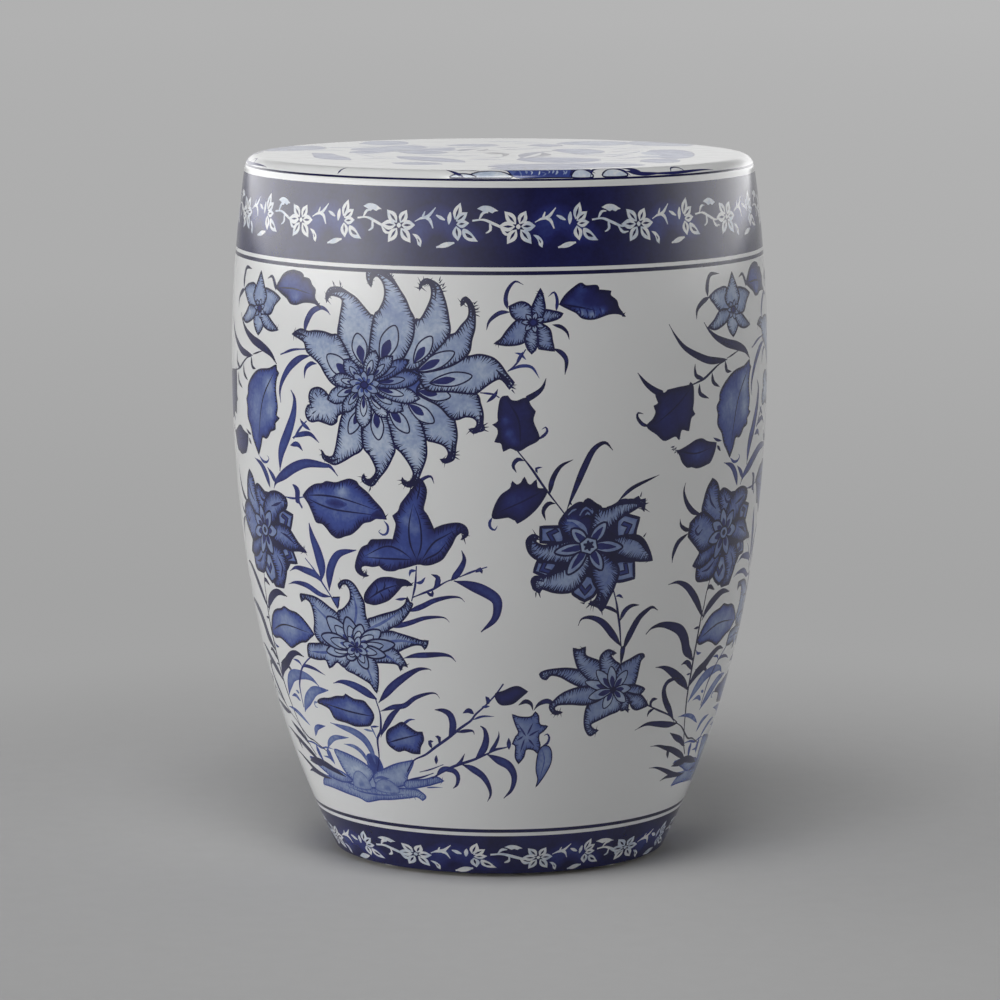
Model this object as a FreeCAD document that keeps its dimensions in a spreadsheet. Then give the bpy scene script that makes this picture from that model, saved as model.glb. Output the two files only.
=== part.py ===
import FreeCAD, Part
import math
import os
from collections import namedtuple

import Sketcher

# Ceramic garden stool, standing on the floor with its axis on Z.
# The hollow drum is built the way such a stool is made: clay members that are
# luted together with slip and coils, then printed, glazed and fired, and four
# rubber bumpers stuck into the foot. All lengths are in millimetres.

SIZES = {
    # Finished outline, measured over the glaze
    "StoolHeight": 457.0,
    "BellyRadius": 175.0,
    "BellyHeight": 319.5,
    "BellyCurve": 920.0,
    "TurnHeight": 184.5,
    "FootCurve": 630.0,
    "RimRadius": 9.0,
    "EdgeRadius": 2.5,
    "FootClearance": 1.5,
    # Clay members
    "GlazeThickness": 0.5,
    "GlazeClearance": 0.3,
    "WallThickness": 8.0,
    "SeatThickness": 9.0,
    "SpigotDepth": 4.0,
    "SeamHeight": 250.0,
    "LapHeight": 10.0,
    "LutingGap": 0.3,
    "FootRingHeight": 16.0,
    "FootRingWidth": 20.0,
    "FloorThickness": 8.0,
    "PourHoleRadius": 40.0,
    "NoseRadius": 3.0,
    "CoilSize": 9.0,
    "SeamCoilHeight": 26.0,
    "SeamCoilCurve": 20.0,
    # Printed zones of the glaze, from the foot up and from the seat down
    "GlazeWipe": 1.0,
    "LowerBandTop": 29.5,
    "RingWidth": 2.4,
    "UpperBandHeight": 48.8,
    "RimStripeHeight": 4.0,
    "RimLineWidth": 1.3,
    "RimLineDepth": 4.9,
    # Rubber bumpers under the foot
    "BumperCount": 4,
    "BumperFirstAngle": 45.0,
    "BumperRadius": 6.0,
    "BumperRounding": 0.6,
    "BumperRecess": 1.5,
    "BumperClearance": 0.3,
}

# The outline is four arcs, each tangent to the next: the small rounding of the
# foot, the long curve above the foot, the belly, and the rounded rim.
OUTLINE = {
    "BellyCentre": "Sizes.BellyRadius - Sizes.BellyCurve",
    "TurnSine": "(Sizes.TurnHeight - Sizes.BellyHeight) / Sizes.BellyCurve",
    "FootCentre": "Outline.BellyCentre"
    " + (Sizes.BellyCurve - Sizes.FootCurve) * sqrt(1 - Outline.TurnSine ^ 2)",
    "FootCentreHeight": "Sizes.BellyHeight"
    " + (Sizes.BellyCurve - Sizes.FootCurve) * Outline.TurnSine",
    "RimHeight": "Sizes.StoolHeight - Sizes.RimRadius",
    "ShoulderSine": "(Outline.RimHeight - Sizes.BellyHeight)"
    " / (Sizes.BellyCurve - Sizes.RimRadius)",
    "RimCentre": "Outline.BellyCentre"
    " + (Sizes.BellyCurve - Sizes.RimRadius) * sqrt(1 - Outline.ShoulderSine ^ 2)",
    "EdgeHeight": "Sizes.FootClearance + Sizes.EdgeRadius",
    "HeelSine": "(Outline.EdgeHeight - Outline.FootCentreHeight)"
    " / (Sizes.FootCurve - Sizes.EdgeRadius)",
    "EdgeCentre": "Outline.FootCentre"
    " + (Sizes.FootCurve - Sizes.EdgeRadius) * sqrt(1 - Outline.HeelSine ^ 2)",
}

# centre and height place an arc, and sine is the slope angle where it ends.
OutlineArc = namedtuple("OutlineArc", "centre height size sine")
OUTLINE_ARCS = (
    OutlineArc("Outline.EdgeCentre", "Outline.EdgeHeight", "Sizes.EdgeRadius", "Outline.HeelSine"),
    OutlineArc(
        "Outline.FootCentre", "Outline.FootCentreHeight", "Sizes.FootCurve", "Outline.TurnSine"
    ),
    OutlineArc("Outline.BellyCentre", "Sizes.BellyHeight", "Sizes.BellyCurve", "Outline.ShoulderSine"),
    OutlineArc("Outline.RimCentre", "Outline.RimHeight", "Sizes.RimRadius", "1"),
)
LONG_ARCS = OUTLINE_ARCS[1:3]

# Depths below the finished face
FACE = "0"
GLAZE = "Sizes.GlazeThickness"
CLAY = "(Sizes.GlazeThickness + Sizes.GlazeClearance)"
LAP = f"({CLAY} + Sizes.WallThickness / 2)"
TONGUE = f"({LAP} + Sizes.LutingGap)"
BORE = f"({CLAY} + Sizes.WallThickness)"
COIL = f"({BORE} + Sizes.LutingGap)"
ROUNDED_DEPTHS = (FACE, GLAZE, CLAY)

# Heights where the members meet
CROWN = f"(Sizes.StoolHeight - {CLAY})"
SEAT_JOINT = f"({CROWN} - Sizes.SeatThickness)"
SPIGOT_FACE = f"({SEAT_JOINT} - Sizes.SpigotDepth)"
LAP_TOP = "(Sizes.SeamHeight + Sizes.LapHeight)"
FOOT_FACE = f"(Sizes.FootClearance + {CLAY})"
FOOT_JOINT = f"({FOOT_FACE} + Sizes.FootRingHeight)"
FLOOR_FACE = f"({FOOT_JOINT} + Sizes.FloorThickness)"

# Radius of the hollow face that a pressed coil is left with
COIL_HOLLOW = "(Sizes.CoilSize * 2)"

# Radii of the foot ring's bore, of the circle that the bumpers stand on, and of
# the recess that holds each of them
FOOT_BORE = "(Outline.EdgeCentre - Sizes.FootRingWidth)"
BUMPER_CIRCLE = "(Outline.EdgeCentre - Sizes.FootRingWidth / 2)"
RECESS_RADIUS = "(Sizes.BumperRadius + Sizes.BumperClearance)"
RECESS_TOP = f"({FOOT_FACE} + Sizes.BumperRecess)"

# A corner of a turned outline. arc is the round edge that leaves the corner,
# as its radius and the side it bends to, or None for a straight edge.
Corner = namedtuple("Corner", "radius height arc", defaults=(None,))

document = FreeCAD.newDocument("GardenStool")


def make_sheet():
    """Spreadsheet of the driving dimensions, one aliased cell each."""
    sheet = document.addObject("Spreadsheet::Sheet", "Sizes")
    for row, (alias, value) in enumerate(SIZES.items(), start=1):
        sheet.set(f"A{row}", alias)
        sheet.set(f"B{row}", str(value))
        sheet.setAlias(f"B{row}", alias)
    document.recompute()
    return sheet


def make_outline():
    """Centres and slopes of the outline's arcs, worked out from the sheet."""
    outline = document.addObject("App::VarSet", "Outline")
    for name, expression in OUTLINE.items():
        outline.addProperty("App::PropertyFloat", name, "Outline")
        outline.setExpression(name, expression)
    document.recompute()
    return outline


sizes = make_sheet()
make_outline()


def value_of(expression):
    """Number that an expression gives now."""
    return float(sizes.evalExpression(expression))


def radius_on(arc, height, depth):
    """Radius of the outline at a height, on one of its arcs and below its face."""
    reach = f"({arc.size} - {depth}) ^ 2 - ({height} - {arc.height}) ^ 2"
    return f"({arc.centre} + sqrt(max(0; {reach})))"


def rising(low, high, depth):
    """Corners up the outline from one height to another, at one depth.

    Only the glaze and the clay face under it follow the small roundings of foot and rim."""
    followed = OUTLINE_ARCS if depth in ROUNDED_DEPTHS else LONG_ARCS
    corners = []
    height = low
    for arc in followed:
        size = f"({arc.size} - {depth})"
        end = f"({arc.height} + {size} * {arc.sine})"
        is_last = arc is followed[-1]
        if not is_last and value_of(end) <= value_of(low):
            continue
        corners.append(Corner(radius_on(arc, height, depth), height, (size, "left")))
        if is_last or value_of(end) >= value_of(high):
            break
        height = end
    corners.append(Corner(radius_on(arc, high, depth), high))
    return corners


def falling(low, high, depth):
    """The same corners in reverse, down the outline."""
    climb = rising(low, high, depth)
    climb.reverse()
    corners = []
    for here, below in zip(climb, climb[1:]):
        size, _ = below.arc
        corners.append(Corner(here.radius, here.height, (size, "right")))
    corners.append(Corner(climb[-1].radius, climb[-1].height))
    return corners


def wall_radius(height):
    """Radius of the drum's inner face at a height, as an expression."""
    return rising(height, height + " + 1", BORE)[0].radius


def arc_between(start, end, radius, side):
    """Arc of less than half a turn from one point to another."""
    chord = end - start
    left = FreeCAD.Vector(-chord.y, chord.x, 0) / chord.Length
    rise = math.sqrt(radius**2 - (chord.Length / 2) ** 2)
    centre = (start + end) / 2 + left * (rise if side == "left" else -rise)
    first, last = (start, end) if side == "left" else (end, start)
    first_angle = math.atan2(first.y - centre.y, first.x - centre.x)
    last_angle = math.atan2(last.y - centre.y, last.x - centre.x)
    if last_angle < first_angle:
        last_angle += 2 * math.pi
    circle = Part.Circle(centre, FreeCAD.Vector(0, 0, 1), radius)
    return Part.ArcOfCircle(circle, first_angle, last_angle)


def new_sketch(body, name, plane):
    """Sketch on one of the body's own origin planes."""
    sketch = body.newObject("Sketcher::SketchObject", name)
    for feature in body.Origin.OriginFeatures:
        if feature.Role == plane:
            sketch.AttachmentSupport = [(feature, "")]
    sketch.MapMode = "FlatFace"
    return sketch


def constrain(sketch, name, expression, *constraint):
    """Add a dimension to a sketch and bind it to an expression."""
    index = sketch.addConstraint(Sketcher.Constraint(*constraint, value_of(expression)))
    sketch.renameConstraint(index, name)
    sketch.setExpression(f"Constraints.{name}", expression)


def draw(sketch, corners):
    """Draw a closed outline through the corners, fully dimensioned."""
    points = [FreeCAD.Vector(value_of(c.radius), value_of(c.height), 0) for c in corners]
    start_end = []
    for index, corner in enumerate(corners):
        start = points[index]
        end = points[(index + 1) % len(points)]
        if corner.arc is None:
            edge = sketch.addGeometry(Part.LineSegment(start, end), False)
            start_end.append((edge, 1, 2))
            continue
        size, side = corner.arc
        edge = sketch.addGeometry(arc_between(start, end, value_of(size), side), False)
        start_end.append((edge, 1, 2) if side == "left" else (edge, 2, 1))
    for index, corner in enumerate(corners):
        edge, start, _ = start_end[index]
        previous, _, arrival = start_end[index - 1]
        sketch.addConstraint(Sketcher.Constraint("Coincident", previous, arrival, edge, start))
        if corner.radius == "0":
            sketch.addConstraint(Sketcher.Constraint("PointOnObject", edge, start, -2))
        else:
            constrain(sketch, f"radius{index}", corner.radius, "DistanceX", edge, start)
        if corner.height == "0":
            sketch.addConstraint(Sketcher.Constraint("PointOnObject", edge, start, -1))
        else:
            constrain(sketch, f"height{index}", corner.height, "DistanceY", edge, start)
        if corner.arc is not None:
            constrain(sketch, f"arc{index}", corner.arc[0], "Radius", edge)


def turned(name, corners):
    """Body turned about the stool's axis from an outline on its XZ plane."""
    body = document.addObject("PartDesign::Body", name)
    body.Label = name
    sketch = new_sketch(body, f"{name}_outline", "XZ_Plane")
    draw(sketch, corners)
    turn = body.newObject("PartDesign::Revolution", f"{name}_turn")
    turn.Profile = sketch
    turn.ReferenceAxis = (sketch, ["V_Axis"])
    turn.Angle = 360
    document.recompute()
    return body


def band(name, low, high):
    """One zone of print and glaze, as thick as the glaze, between two heights."""
    return turned(name, rising(low, high, FACE) + falling(low, high, GLAZE))


def seat_slab():
    """Seat disc with a rounded rim, and a spigot that drops into the drum."""
    spigot = f"({wall_radius(SEAT_JOINT)} - Sizes.LutingGap)"
    corners = [Corner("0", SPIGOT_FACE), Corner(spigot, SPIGOT_FACE), Corner(spigot, SEAT_JOINT)]
    corners += rising(SEAT_JOINT, CROWN, CLAY)
    corners.append(Corner("0", CROWN))
    return turned("seat_slab", corners)


def upper_wall():
    """Drum from the lapped seam up to the seat, rebated to take the tongue below."""
    corners = rising("Sizes.SeamHeight", SEAT_JOINT, CLAY)
    corners += falling(LAP_TOP, SEAT_JOINT, BORE)
    corners += falling("Sizes.SeamHeight", LAP_TOP, LAP)
    return turned("upper_wall", corners)


def lower_wall():
    """Drum from the foot ring up to the seam, with a tongue that laps inside."""
    corners = rising(FOOT_JOINT, "Sizes.SeamHeight", CLAY)
    corners += rising("Sizes.SeamHeight", LAP_TOP, TONGUE)
    corners += falling(FOOT_JOINT, LAP_TOP, BORE)
    return turned("lower_wall", corners)


def foot_ring():
    """Thick ring the stool stands on, with a recess for each bumper."""
    corners = [Corner(FOOT_BORE, FOOT_FACE)]
    corners += rising(FOOT_FACE, FOOT_JOINT, CLAY)
    corners.append(Corner(FOOT_BORE, FOOT_JOINT))
    body = turned("foot_ring", corners)
    uncut_volume = body.Shape.Volume
    sketch = new_sketch(body, "bumper_recess_circle", "XY_Plane")
    centre = FreeCAD.Vector(value_of(BUMPER_CIRCLE), 0, 0)
    circle = Part.Circle(centre, FreeCAD.Vector(0, 0, 1), value_of(RECESS_RADIUS))
    edge = sketch.addGeometry(circle, False)
    sketch.addConstraint(Sketcher.Constraint("PointOnObject", edge, 3, -1))
    constrain(sketch, "pitch", BUMPER_CIRCLE, "DistanceX", edge, 3)
    constrain(sketch, "radius", RECESS_RADIUS, "Radius", edge)
    recess = body.newObject("PartDesign::Pocket", "bumper_recess")
    recess.Profile = sketch
    recess.Reversed = True
    recess.setExpression("Length", RECESS_TOP)
    document.recompute()
    pattern = body.newObject("PartDesign::PolarPattern", "bumper_recesses")
    pattern.Originals = [recess]
    pattern.Axis = (sketch, ["N_Axis"])
    pattern.Angle = 360
    pattern.setExpression("Occurrences", "Sizes.BumperCount")
    body.Tip = pattern
    body.setExpression("Placement.Rotation.Angle", "Sizes.BumperFirstAngle")
    document.recompute()
    cut_volume = math.pi * value_of(f"{RECESS_RADIUS} ^ 2 * Sizes.BumperRecess * Sizes.BumperCount")
    if abs(uncut_volume - body.Shape.Volume - cut_volume) > 0.01 * cut_volume:
        raise RuntimeError("the bumper recesses are not cut as drawn")
    return body


def base_floor():
    """Floor disc that seats on the foot ring, with the rounded pour hole."""
    edge = f"({wall_radius(FOOT_JOINT)} - Sizes.LutingGap)"
    nose = "(Sizes.PourHoleRadius + Sizes.NoseRadius)"
    rounding = ("Sizes.NoseRadius", "left")
    corners = [
        Corner(nose, FOOT_JOINT),
        Corner(edge, FOOT_JOINT),
        Corner(edge, FLOOR_FACE),
        Corner(nose, FLOOR_FACE, rounding),
        Corner("Sizes.PourHoleRadius", f"({FLOOR_FACE} - Sizes.NoseRadius)"),
        Corner("Sizes.PourHoleRadius", f"({FOOT_JOINT} + Sizes.NoseRadius)", rounding),
    ]
    return turned("base_floor", corners)


def seat_coil():
    """Coil of clay pressed into the corner under the seat's spigot."""
    low = f"({SPIGOT_FACE} - Sizes.CoilSize)"
    corners = rising(low, SPIGOT_FACE, COIL)
    inner = f"({corners[-1].radius} - Sizes.CoilSize)"
    corners.append(Corner(inner, SPIGOT_FACE, (COIL_HOLLOW, "right")))
    return turned("seat_coil", corners)


def seam_coil():
    """Flattened coil of clay pressed over the inside of the lapped seam."""
    middle = "(Sizes.SeamHeight + Sizes.LapHeight / 2)"
    low = f"({middle} - Sizes.SeamCoilHeight / 2)"
    high = f"({middle} + Sizes.SeamCoilHeight / 2)"
    corners = rising(low, high, COIL)
    top = corners.pop()
    corners.append(Corner(top.radius, top.height, ("Sizes.SeamCoilCurve", "left")))
    return turned("seam_coil", corners)


def floor_coil():
    """Coil of clay pressed into the corner between the floor and the drum."""
    high = f"({FLOOR_FACE} + Sizes.CoilSize)"
    wall = rising(FLOOR_FACE, high, COIL)
    inner = f"({wall[0].radius} - Sizes.CoilSize)"
    top = wall.pop()
    corners = [Corner(inner, FLOOR_FACE)] + wall
    corners.append(Corner(top.radius, top.height, (COIL_HOLLOW, "right")))
    return turned("floor_coil", corners)


def seat_glaze():
    """Glaze over the seat and down its rounded rim to the rim line."""
    low = "(Sizes.StoolHeight - Sizes.RimLineDepth)"
    top = "Sizes.StoolHeight"
    under = f"({top} - {GLAZE})"
    corners = rising(low, top, FACE)
    corners += [Corner("0", top), Corner("0", under)]
    corners += falling(low, under, GLAZE)
    return turned("seat_glaze", corners)


def printed_zones():
    """Bands, rings and plain glaze from the foot to the rim line."""
    lower_white = "(Sizes.LowerBandTop + Sizes.RingWidth)"
    lower_blue = f"({lower_white} + Sizes.RingWidth)"
    rim_line_top = "(Sizes.StoolHeight - Sizes.RimLineDepth)"
    rim_line = f"({rim_line_top} - Sizes.RimLineWidth)"
    band_top = f"({rim_line} - Sizes.RimStripeHeight)"
    band_bottom = f"({band_top} - Sizes.UpperBandHeight)"
    upper_white = f"({band_bottom} - Sizes.RingWidth)"
    upper_blue = f"({upper_white} - Sizes.RingWidth)"
    zones = (
        ("lower_band", "Sizes.LowerBandTop"),
        ("lower_white_ring", lower_white),
        ("lower_blue_ring", lower_blue),
        ("body_glaze", upper_blue),
        ("upper_blue_ring", upper_white),
        ("upper_white_ring", band_bottom),
        ("upper_band", band_top),
        ("rim_stripe", rim_line),
        ("rim_line", rim_line_top),
    )
    low = "(Sizes.FootClearance + Sizes.GlazeWipe)"
    bodies = []
    for name, high in zones:
        bodies.append(band(name, low, high))
        low = high
    return bodies


def floor_bumper(number):
    """Soft disc stuck in a recess of the foot ring, proud of the foot."""
    face = "(Sizes.BumperRadius - Sizes.BumperRounding)"
    corners = [
        Corner("0", "0"),
        Corner(face, "0", ("Sizes.BumperRounding", "left")),
        Corner("Sizes.BumperRadius", "Sizes.BumperRounding"),
        Corner("Sizes.BumperRadius", RECESS_TOP),
        Corner("0", RECESS_TOP),
    ]
    body = turned(f"floor_bumper_{number}", corners)
    angle = f"(Sizes.BumperFirstAngle + {number - 1} * 360 / Sizes.BumperCount)"
    body.setExpression("Placement.Base.x", f"{BUMPER_CIRCLE} * cos({angle})")
    body.setExpression("Placement.Base.y", f"{BUMPER_CIRCLE} * sin({angle})")
    document.recompute()
    return body


bodies = [
    seat_slab(),
    upper_wall(),
    lower_wall(),
    foot_ring(),
    base_floor(),
    seat_coil(),
    seam_coil(),
    floor_coil(),
    seat_glaze(),
]
bodies += printed_zones()
for number in range(1, SIZES["BumperCount"] + 1):
    bodies.append(floor_bumper(number))

document.recompute()
for item in document.Objects:
    if "Invalid" in item.State or "Error" in item.State:
        raise RuntimeError(f"{item.Label} failed: {item.State}")
for body in bodies:
    if body.Shape.isNull() or not body.Shape.isValid() or len(body.Shape.Solids) != 1:
        raise RuntimeError(f"{body.Label} is not one valid solid")

os.makedirs("parts", exist_ok=True)
for body in bodies:
    body.Shape.exportStep(f"parts/{body.Label}.step")
    box = body.Shape.optimalBoundingBox()
    print(
        f"{body.Label}: {box.XLength:.1f} x {box.YLength:.1f} x {box.ZLength:.1f} mm,"
        f" z {box.ZMin:.2f} to {box.ZMax:.2f}, volume {body.Shape.Volume / 1000:.2f} cm3"
    )
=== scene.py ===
"""Looks of a ceramic garden stool: glazed, with blue flowers printed under the glaze.

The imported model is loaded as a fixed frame. Its clay members, coils and bumpers keep
their meshes and get materials. Its layers of glaze and print are replaced by finely
divided shells on the same surfaces, into which the decoration is cut, so that each
painted shape is a patch of real faces. Lengths in this file are millimetres until a
mesh is made, and metres in Blender.

The decoration is drawn flat, on a chart: x is the distance round the belly, 0 at the
front and growing to the right as the viewer sees it, and y is the height.
"""

import math

import bpy
import numpy as np
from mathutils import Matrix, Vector
from mathutils.geometry import delaunay_2d_cdt


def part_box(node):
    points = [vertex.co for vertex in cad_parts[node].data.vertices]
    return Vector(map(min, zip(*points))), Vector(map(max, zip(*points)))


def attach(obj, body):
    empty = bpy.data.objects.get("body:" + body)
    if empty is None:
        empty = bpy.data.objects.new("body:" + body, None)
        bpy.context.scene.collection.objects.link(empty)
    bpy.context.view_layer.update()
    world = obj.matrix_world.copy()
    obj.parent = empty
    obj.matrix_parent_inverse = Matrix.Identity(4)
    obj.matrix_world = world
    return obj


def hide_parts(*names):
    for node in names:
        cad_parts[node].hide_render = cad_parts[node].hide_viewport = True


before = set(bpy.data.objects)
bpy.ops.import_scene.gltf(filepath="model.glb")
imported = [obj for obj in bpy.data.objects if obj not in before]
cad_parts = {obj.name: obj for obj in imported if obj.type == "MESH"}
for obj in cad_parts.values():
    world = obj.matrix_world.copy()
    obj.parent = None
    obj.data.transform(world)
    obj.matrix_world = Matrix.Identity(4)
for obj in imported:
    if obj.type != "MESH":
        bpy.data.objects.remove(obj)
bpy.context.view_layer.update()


# ---------------------------------------------------------------- the stool's sizes
HEIGHT = 457.0
BELLY_RADIUS = 175.0
BELLY_HEIGHT = 319.5
BELLY_CURVE = 920.0
TURN_HEIGHT = 184.5
FOOT_CURVE = 630.0
RIM_RADIUS = 9.0
GLAZE = 0.5

REPEATS = 3  # the printed sheets that go round the body
ROUND = 2 * math.pi * BELLY_RADIUS
SHEET = ROUND / REPEATS

# ---------------------------------------------------------------- tones of the cobalt
# How much cobalt lies under the glaze, from bare white to the darkest line.
BARE = 0.0
WASH = 0.30
BLUE = 0.62
DEEP = 0.80
LINE = 0.93
GROUND = 0.90


# ---------------------------------------------------------------- curves on the chart
TINY = 1e-9  # a length that is as good as none
SMALL = 1e-6
FAR = 1e9
POINTS_AT_ONCE = 4000  # whose distances to a loop are worked out together


def smooth(points, closed=False, step=2.0):
    """A curve through the points, as short runs. A point with a third number is a corner."""
    p = np.array([q[:2] for q in points], float)
    sharp = [len(q) > 2 for q in points]
    n = len(p)
    out = []
    for i in range(n if closed else n - 1):
        a, b = p[i], p[(i + 1) % n]
        before = p[i - 1] if (closed or i > 0) and not sharp[i] else 2 * a - b
        last = (i + 2) % n if closed else i + 2
        after = p[last] if (closed or last < n) and not sharp[(i + 1) % n] else 2 * b - a
        count = max(2, int(math.ceil(np.linalg.norm(b - a) / step)))
        t = (np.arange(count) / count)[:, None]
        out.append(0.5 * (2 * a + (b - before) * t + (2 * before - 5 * a + 4 * b - after) * t ** 2
            + (3 * a - before - 3 * b + after) * t ** 3))
    if not closed:
        out.append(p[-1:])
    return np.concatenate(out)


def normals_of(path, closed):
    """Unit vectors to the left of the path at each of its points."""
    if closed:
        along = np.roll(path, -1, 0) - np.roll(path, 1, 0)
    else:
        along = np.gradient(path, axis=0)
    side = np.stack([-along[:, 1], along[:, 0]], 1)
    return side / np.maximum(np.linalg.norm(side, axis=1), TINY)[:, None]


def area_of(loop):
    """More than nothing for a loop that runs anticlockwise."""
    x, y = loop[:, 0], loop[:, 1]
    return 0.5 * float(np.sum(x * np.roll(y, -1) - y * np.roll(x, -1)))


def facing_up(loop):
    return loop if area_of(loop) >= 0 else loop[::-1]


def distance_to(points, loop):
    """Each point's distance to the closed loop's outline."""
    a, b = loop, np.roll(loop, -1, 0)
    d = b - a
    square = np.maximum((d ** 2).sum(1), 1e-12)
    nearest = np.full(len(points), FAR)
    for k in range(0, len(points), POINTS_AT_ONCE):
        q = points[k:k + POINTS_AT_ONCE, None, :] - a[None]
        t = np.clip((q * d[None]).sum(2) / square, 0, 1)
        gap = np.linalg.norm(q - t[..., None] * d[None], axis=2)
        nearest[k:k + POINTS_AT_ONCE] = gap.min(1)
    return nearest


def spoke(centre, reach, rise, angle):
    """The place at that angle on an ellipse round the centre that reaches so far along x
    and rises so far along y."""
    return centre[0] + reach * math.cos(angle), centre[1] + rise * math.sin(angle)


def turns(count, first=0.0):
    """Equal steps of a whole turn."""
    return [k * 2 * math.pi / count + first for k in range(count)]


def diamond(centre, reach, rise):
    """Four points round the centre, for a small dot."""
    x, y = centre
    return [(x - reach, y), (x, y + rise), (x + reach, y), (x, y - rise)]


def between(a, b, share):
    """The place at that share of the way from a to b."""
    return a[0] + share * (b[0] - a[0]), a[1] + share * (b[1] - a[1])


def petal_frame(base, tip, width):
    """A function from shares of a petal's length and width to places on the chart."""
    base, tip = np.array(base, float), np.array(tip, float)
    along = tip - base
    across = np.array([-along[1], along[0]]) / np.linalg.norm(along) * width
    return lambda u, v: tuple(base + along * u + across * v)


def wave(i, k=0.0):
    """A repeatable value from 0 to 1 that jumps about with i."""
    return (math.sin(i * 12.9898 + k * 78.233) * 43758.5453) % 1.0


# ---------------------------------------------------------------- what a print holds
BLADE_TAPER = 0.8  # less than 1 keeps a stroke full for longer before it thins
BLADE_FADE = 0.22  # the share of a stroke's width over which the tone of its rim fades


class Print:
    """Shapes in the order they were painted: each later one covers those before it."""

    def __init__(self):
        self.shapes = []

    def add(self, loops, tone, rim=None, reach=2.5, glow=()):
        """tone is the shape's own, and rim the tone at its outline, which fades over reach.
        glow holds (x, y, radius, amount): soft spots where the wash is thinner."""
        loops = [facing_up(np.asarray(l, float)) for l in loops]
        self.shapes.append((loops, tone, rim, reach, tuple(glow)))

    # -- strokes
    def blade(self, points, width, peak=0.4, tone=DEEP, tail=0.10, rim=None):
        """A brush stroke that is widest at the share peak of its length, and at its ends
        no thinner than the share tail of its width."""
        path = smooth(points)
        s = np.concatenate([[0], np.cumsum(np.linalg.norm(np.diff(path, axis=0), axis=1))])
        t = s / s[-1]
        rise = np.clip(t / max(peak, SMALL), 0, 1)
        fall = np.clip((1 - t) / max(1 - peak, SMALL), 0, 1)
        w = width * np.minimum(np.sin(rise * math.pi / 2) if peak > 0 else 1.0,
            np.sin(fall * math.pi / 2) ** BLADE_TAPER if peak < 1 else 1.0)
        w = np.maximum(w, tail * width) / 2
        side = normals_of(path, False)
        self.add([np.concatenate([path + side * w[:, None], (path - side * w[:, None])[::-1]])],
            tone, rim, BLADE_FADE * width)

    def hair(self, root, length, angle, width):
        """A straight stroke that thins from its root to a point."""
        self.blade([root, spoke(root, length, length, angle)], width, 0.0, LINE)

    # -- closed shapes
    def fill(self, points, tone, outline=1.1, rim=None, reach=2.5, glow=(), ink=LINE):
        """A shape with an inked outline of that width."""
        loop = facing_up(smooth(points, True))
        side = normals_of(loop, True)
        if outline:
            self.add([loop - side * outline / 2], ink)
            loop = loop + side * outline / 2
        self.add([loop], tone, rim, reach, glow)
        return loop

    def hatch(self, loop, length, spacing, lean, width, tone=LINE, seed=0.0):
        """Short ink ticks from the outline inwards, each thinning to a point. They lean
        along the outline, and a negative length turns them outwards."""
        loop = facing_up(loop)
        steps = np.linalg.norm(np.roll(loop, -1, 0) - loop, axis=1)
        s = np.concatenate([[0], np.cumsum(steps)])
        total = s[-1]
        ring = np.concatenate([loop, loop[:1]])

        def at(s_along):
            return np.array([np.interp(s_along, s, ring[:, 0]), np.interp(s_along, s, ring[:, 1])])

        count = max(1, int(total / spacing))
        ticks = []
        for i in range(count):
            here = (i + 0.2 + 0.6 * wave(i, seed)) / count * total
            mid = at(here)
            d = at((here + 0.6) % total) - mid
            norm = np.linalg.norm(d)
            if norm < SMALL:
                continue
            d /= norm
            inward = np.array([-d[1], d[0]])
            reach = length * (0.55 + 0.6 * wave(i, seed + 7))
            tip = mid + inward * reach + d * reach * lean
            base = mid - inward * 0.3 * np.sign(length)
            ticks.append(np.array([base - d * width / 2, base + d * width / 2, tip]))
        if ticks:
            self.add(ticks, tone)

    def fringed(self, points, tone, outline, length, spacing, width, rim=None, seed=0.0, glow=()):
        """A petal in the brushed manner: a heavy outline from which ticks run inwards."""
        loop = self.fill(points, tone, outline, rim, length * 0.6, glow)
        self.hatch(loop, length, spacing, 0.45, width, seed=seed)
        self.hatch(loop, length * 0.4, spacing * 1.2, 0.0, width, seed=seed + 0.37)

    def teardrop(self, base, tip, width, tone=WASH, core=DEEP, line=0.9):
        """The double-lined drop at a petal's heart, with a dark core near its base."""
        at = petal_frame(base, tip, width)
        drop = [at(0, 0) + (1,), at(0.2, 0.3), at(0.55, 0.5), at(0.85, 0.32), at(1, 0),
            at(0.85, -0.32), at(0.55, -0.5), at(0.2, -0.3)]
        self.fill(drop, tone, line)
        heart = [at(0.02, 0) + (1,), at(0.2, 0.18), at(0.42, 0.27), at(0.62, 0.0), at(0.42, -0.27),
            at(0.2, -0.18)]
        self.fill(heart, core, 0)


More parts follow.
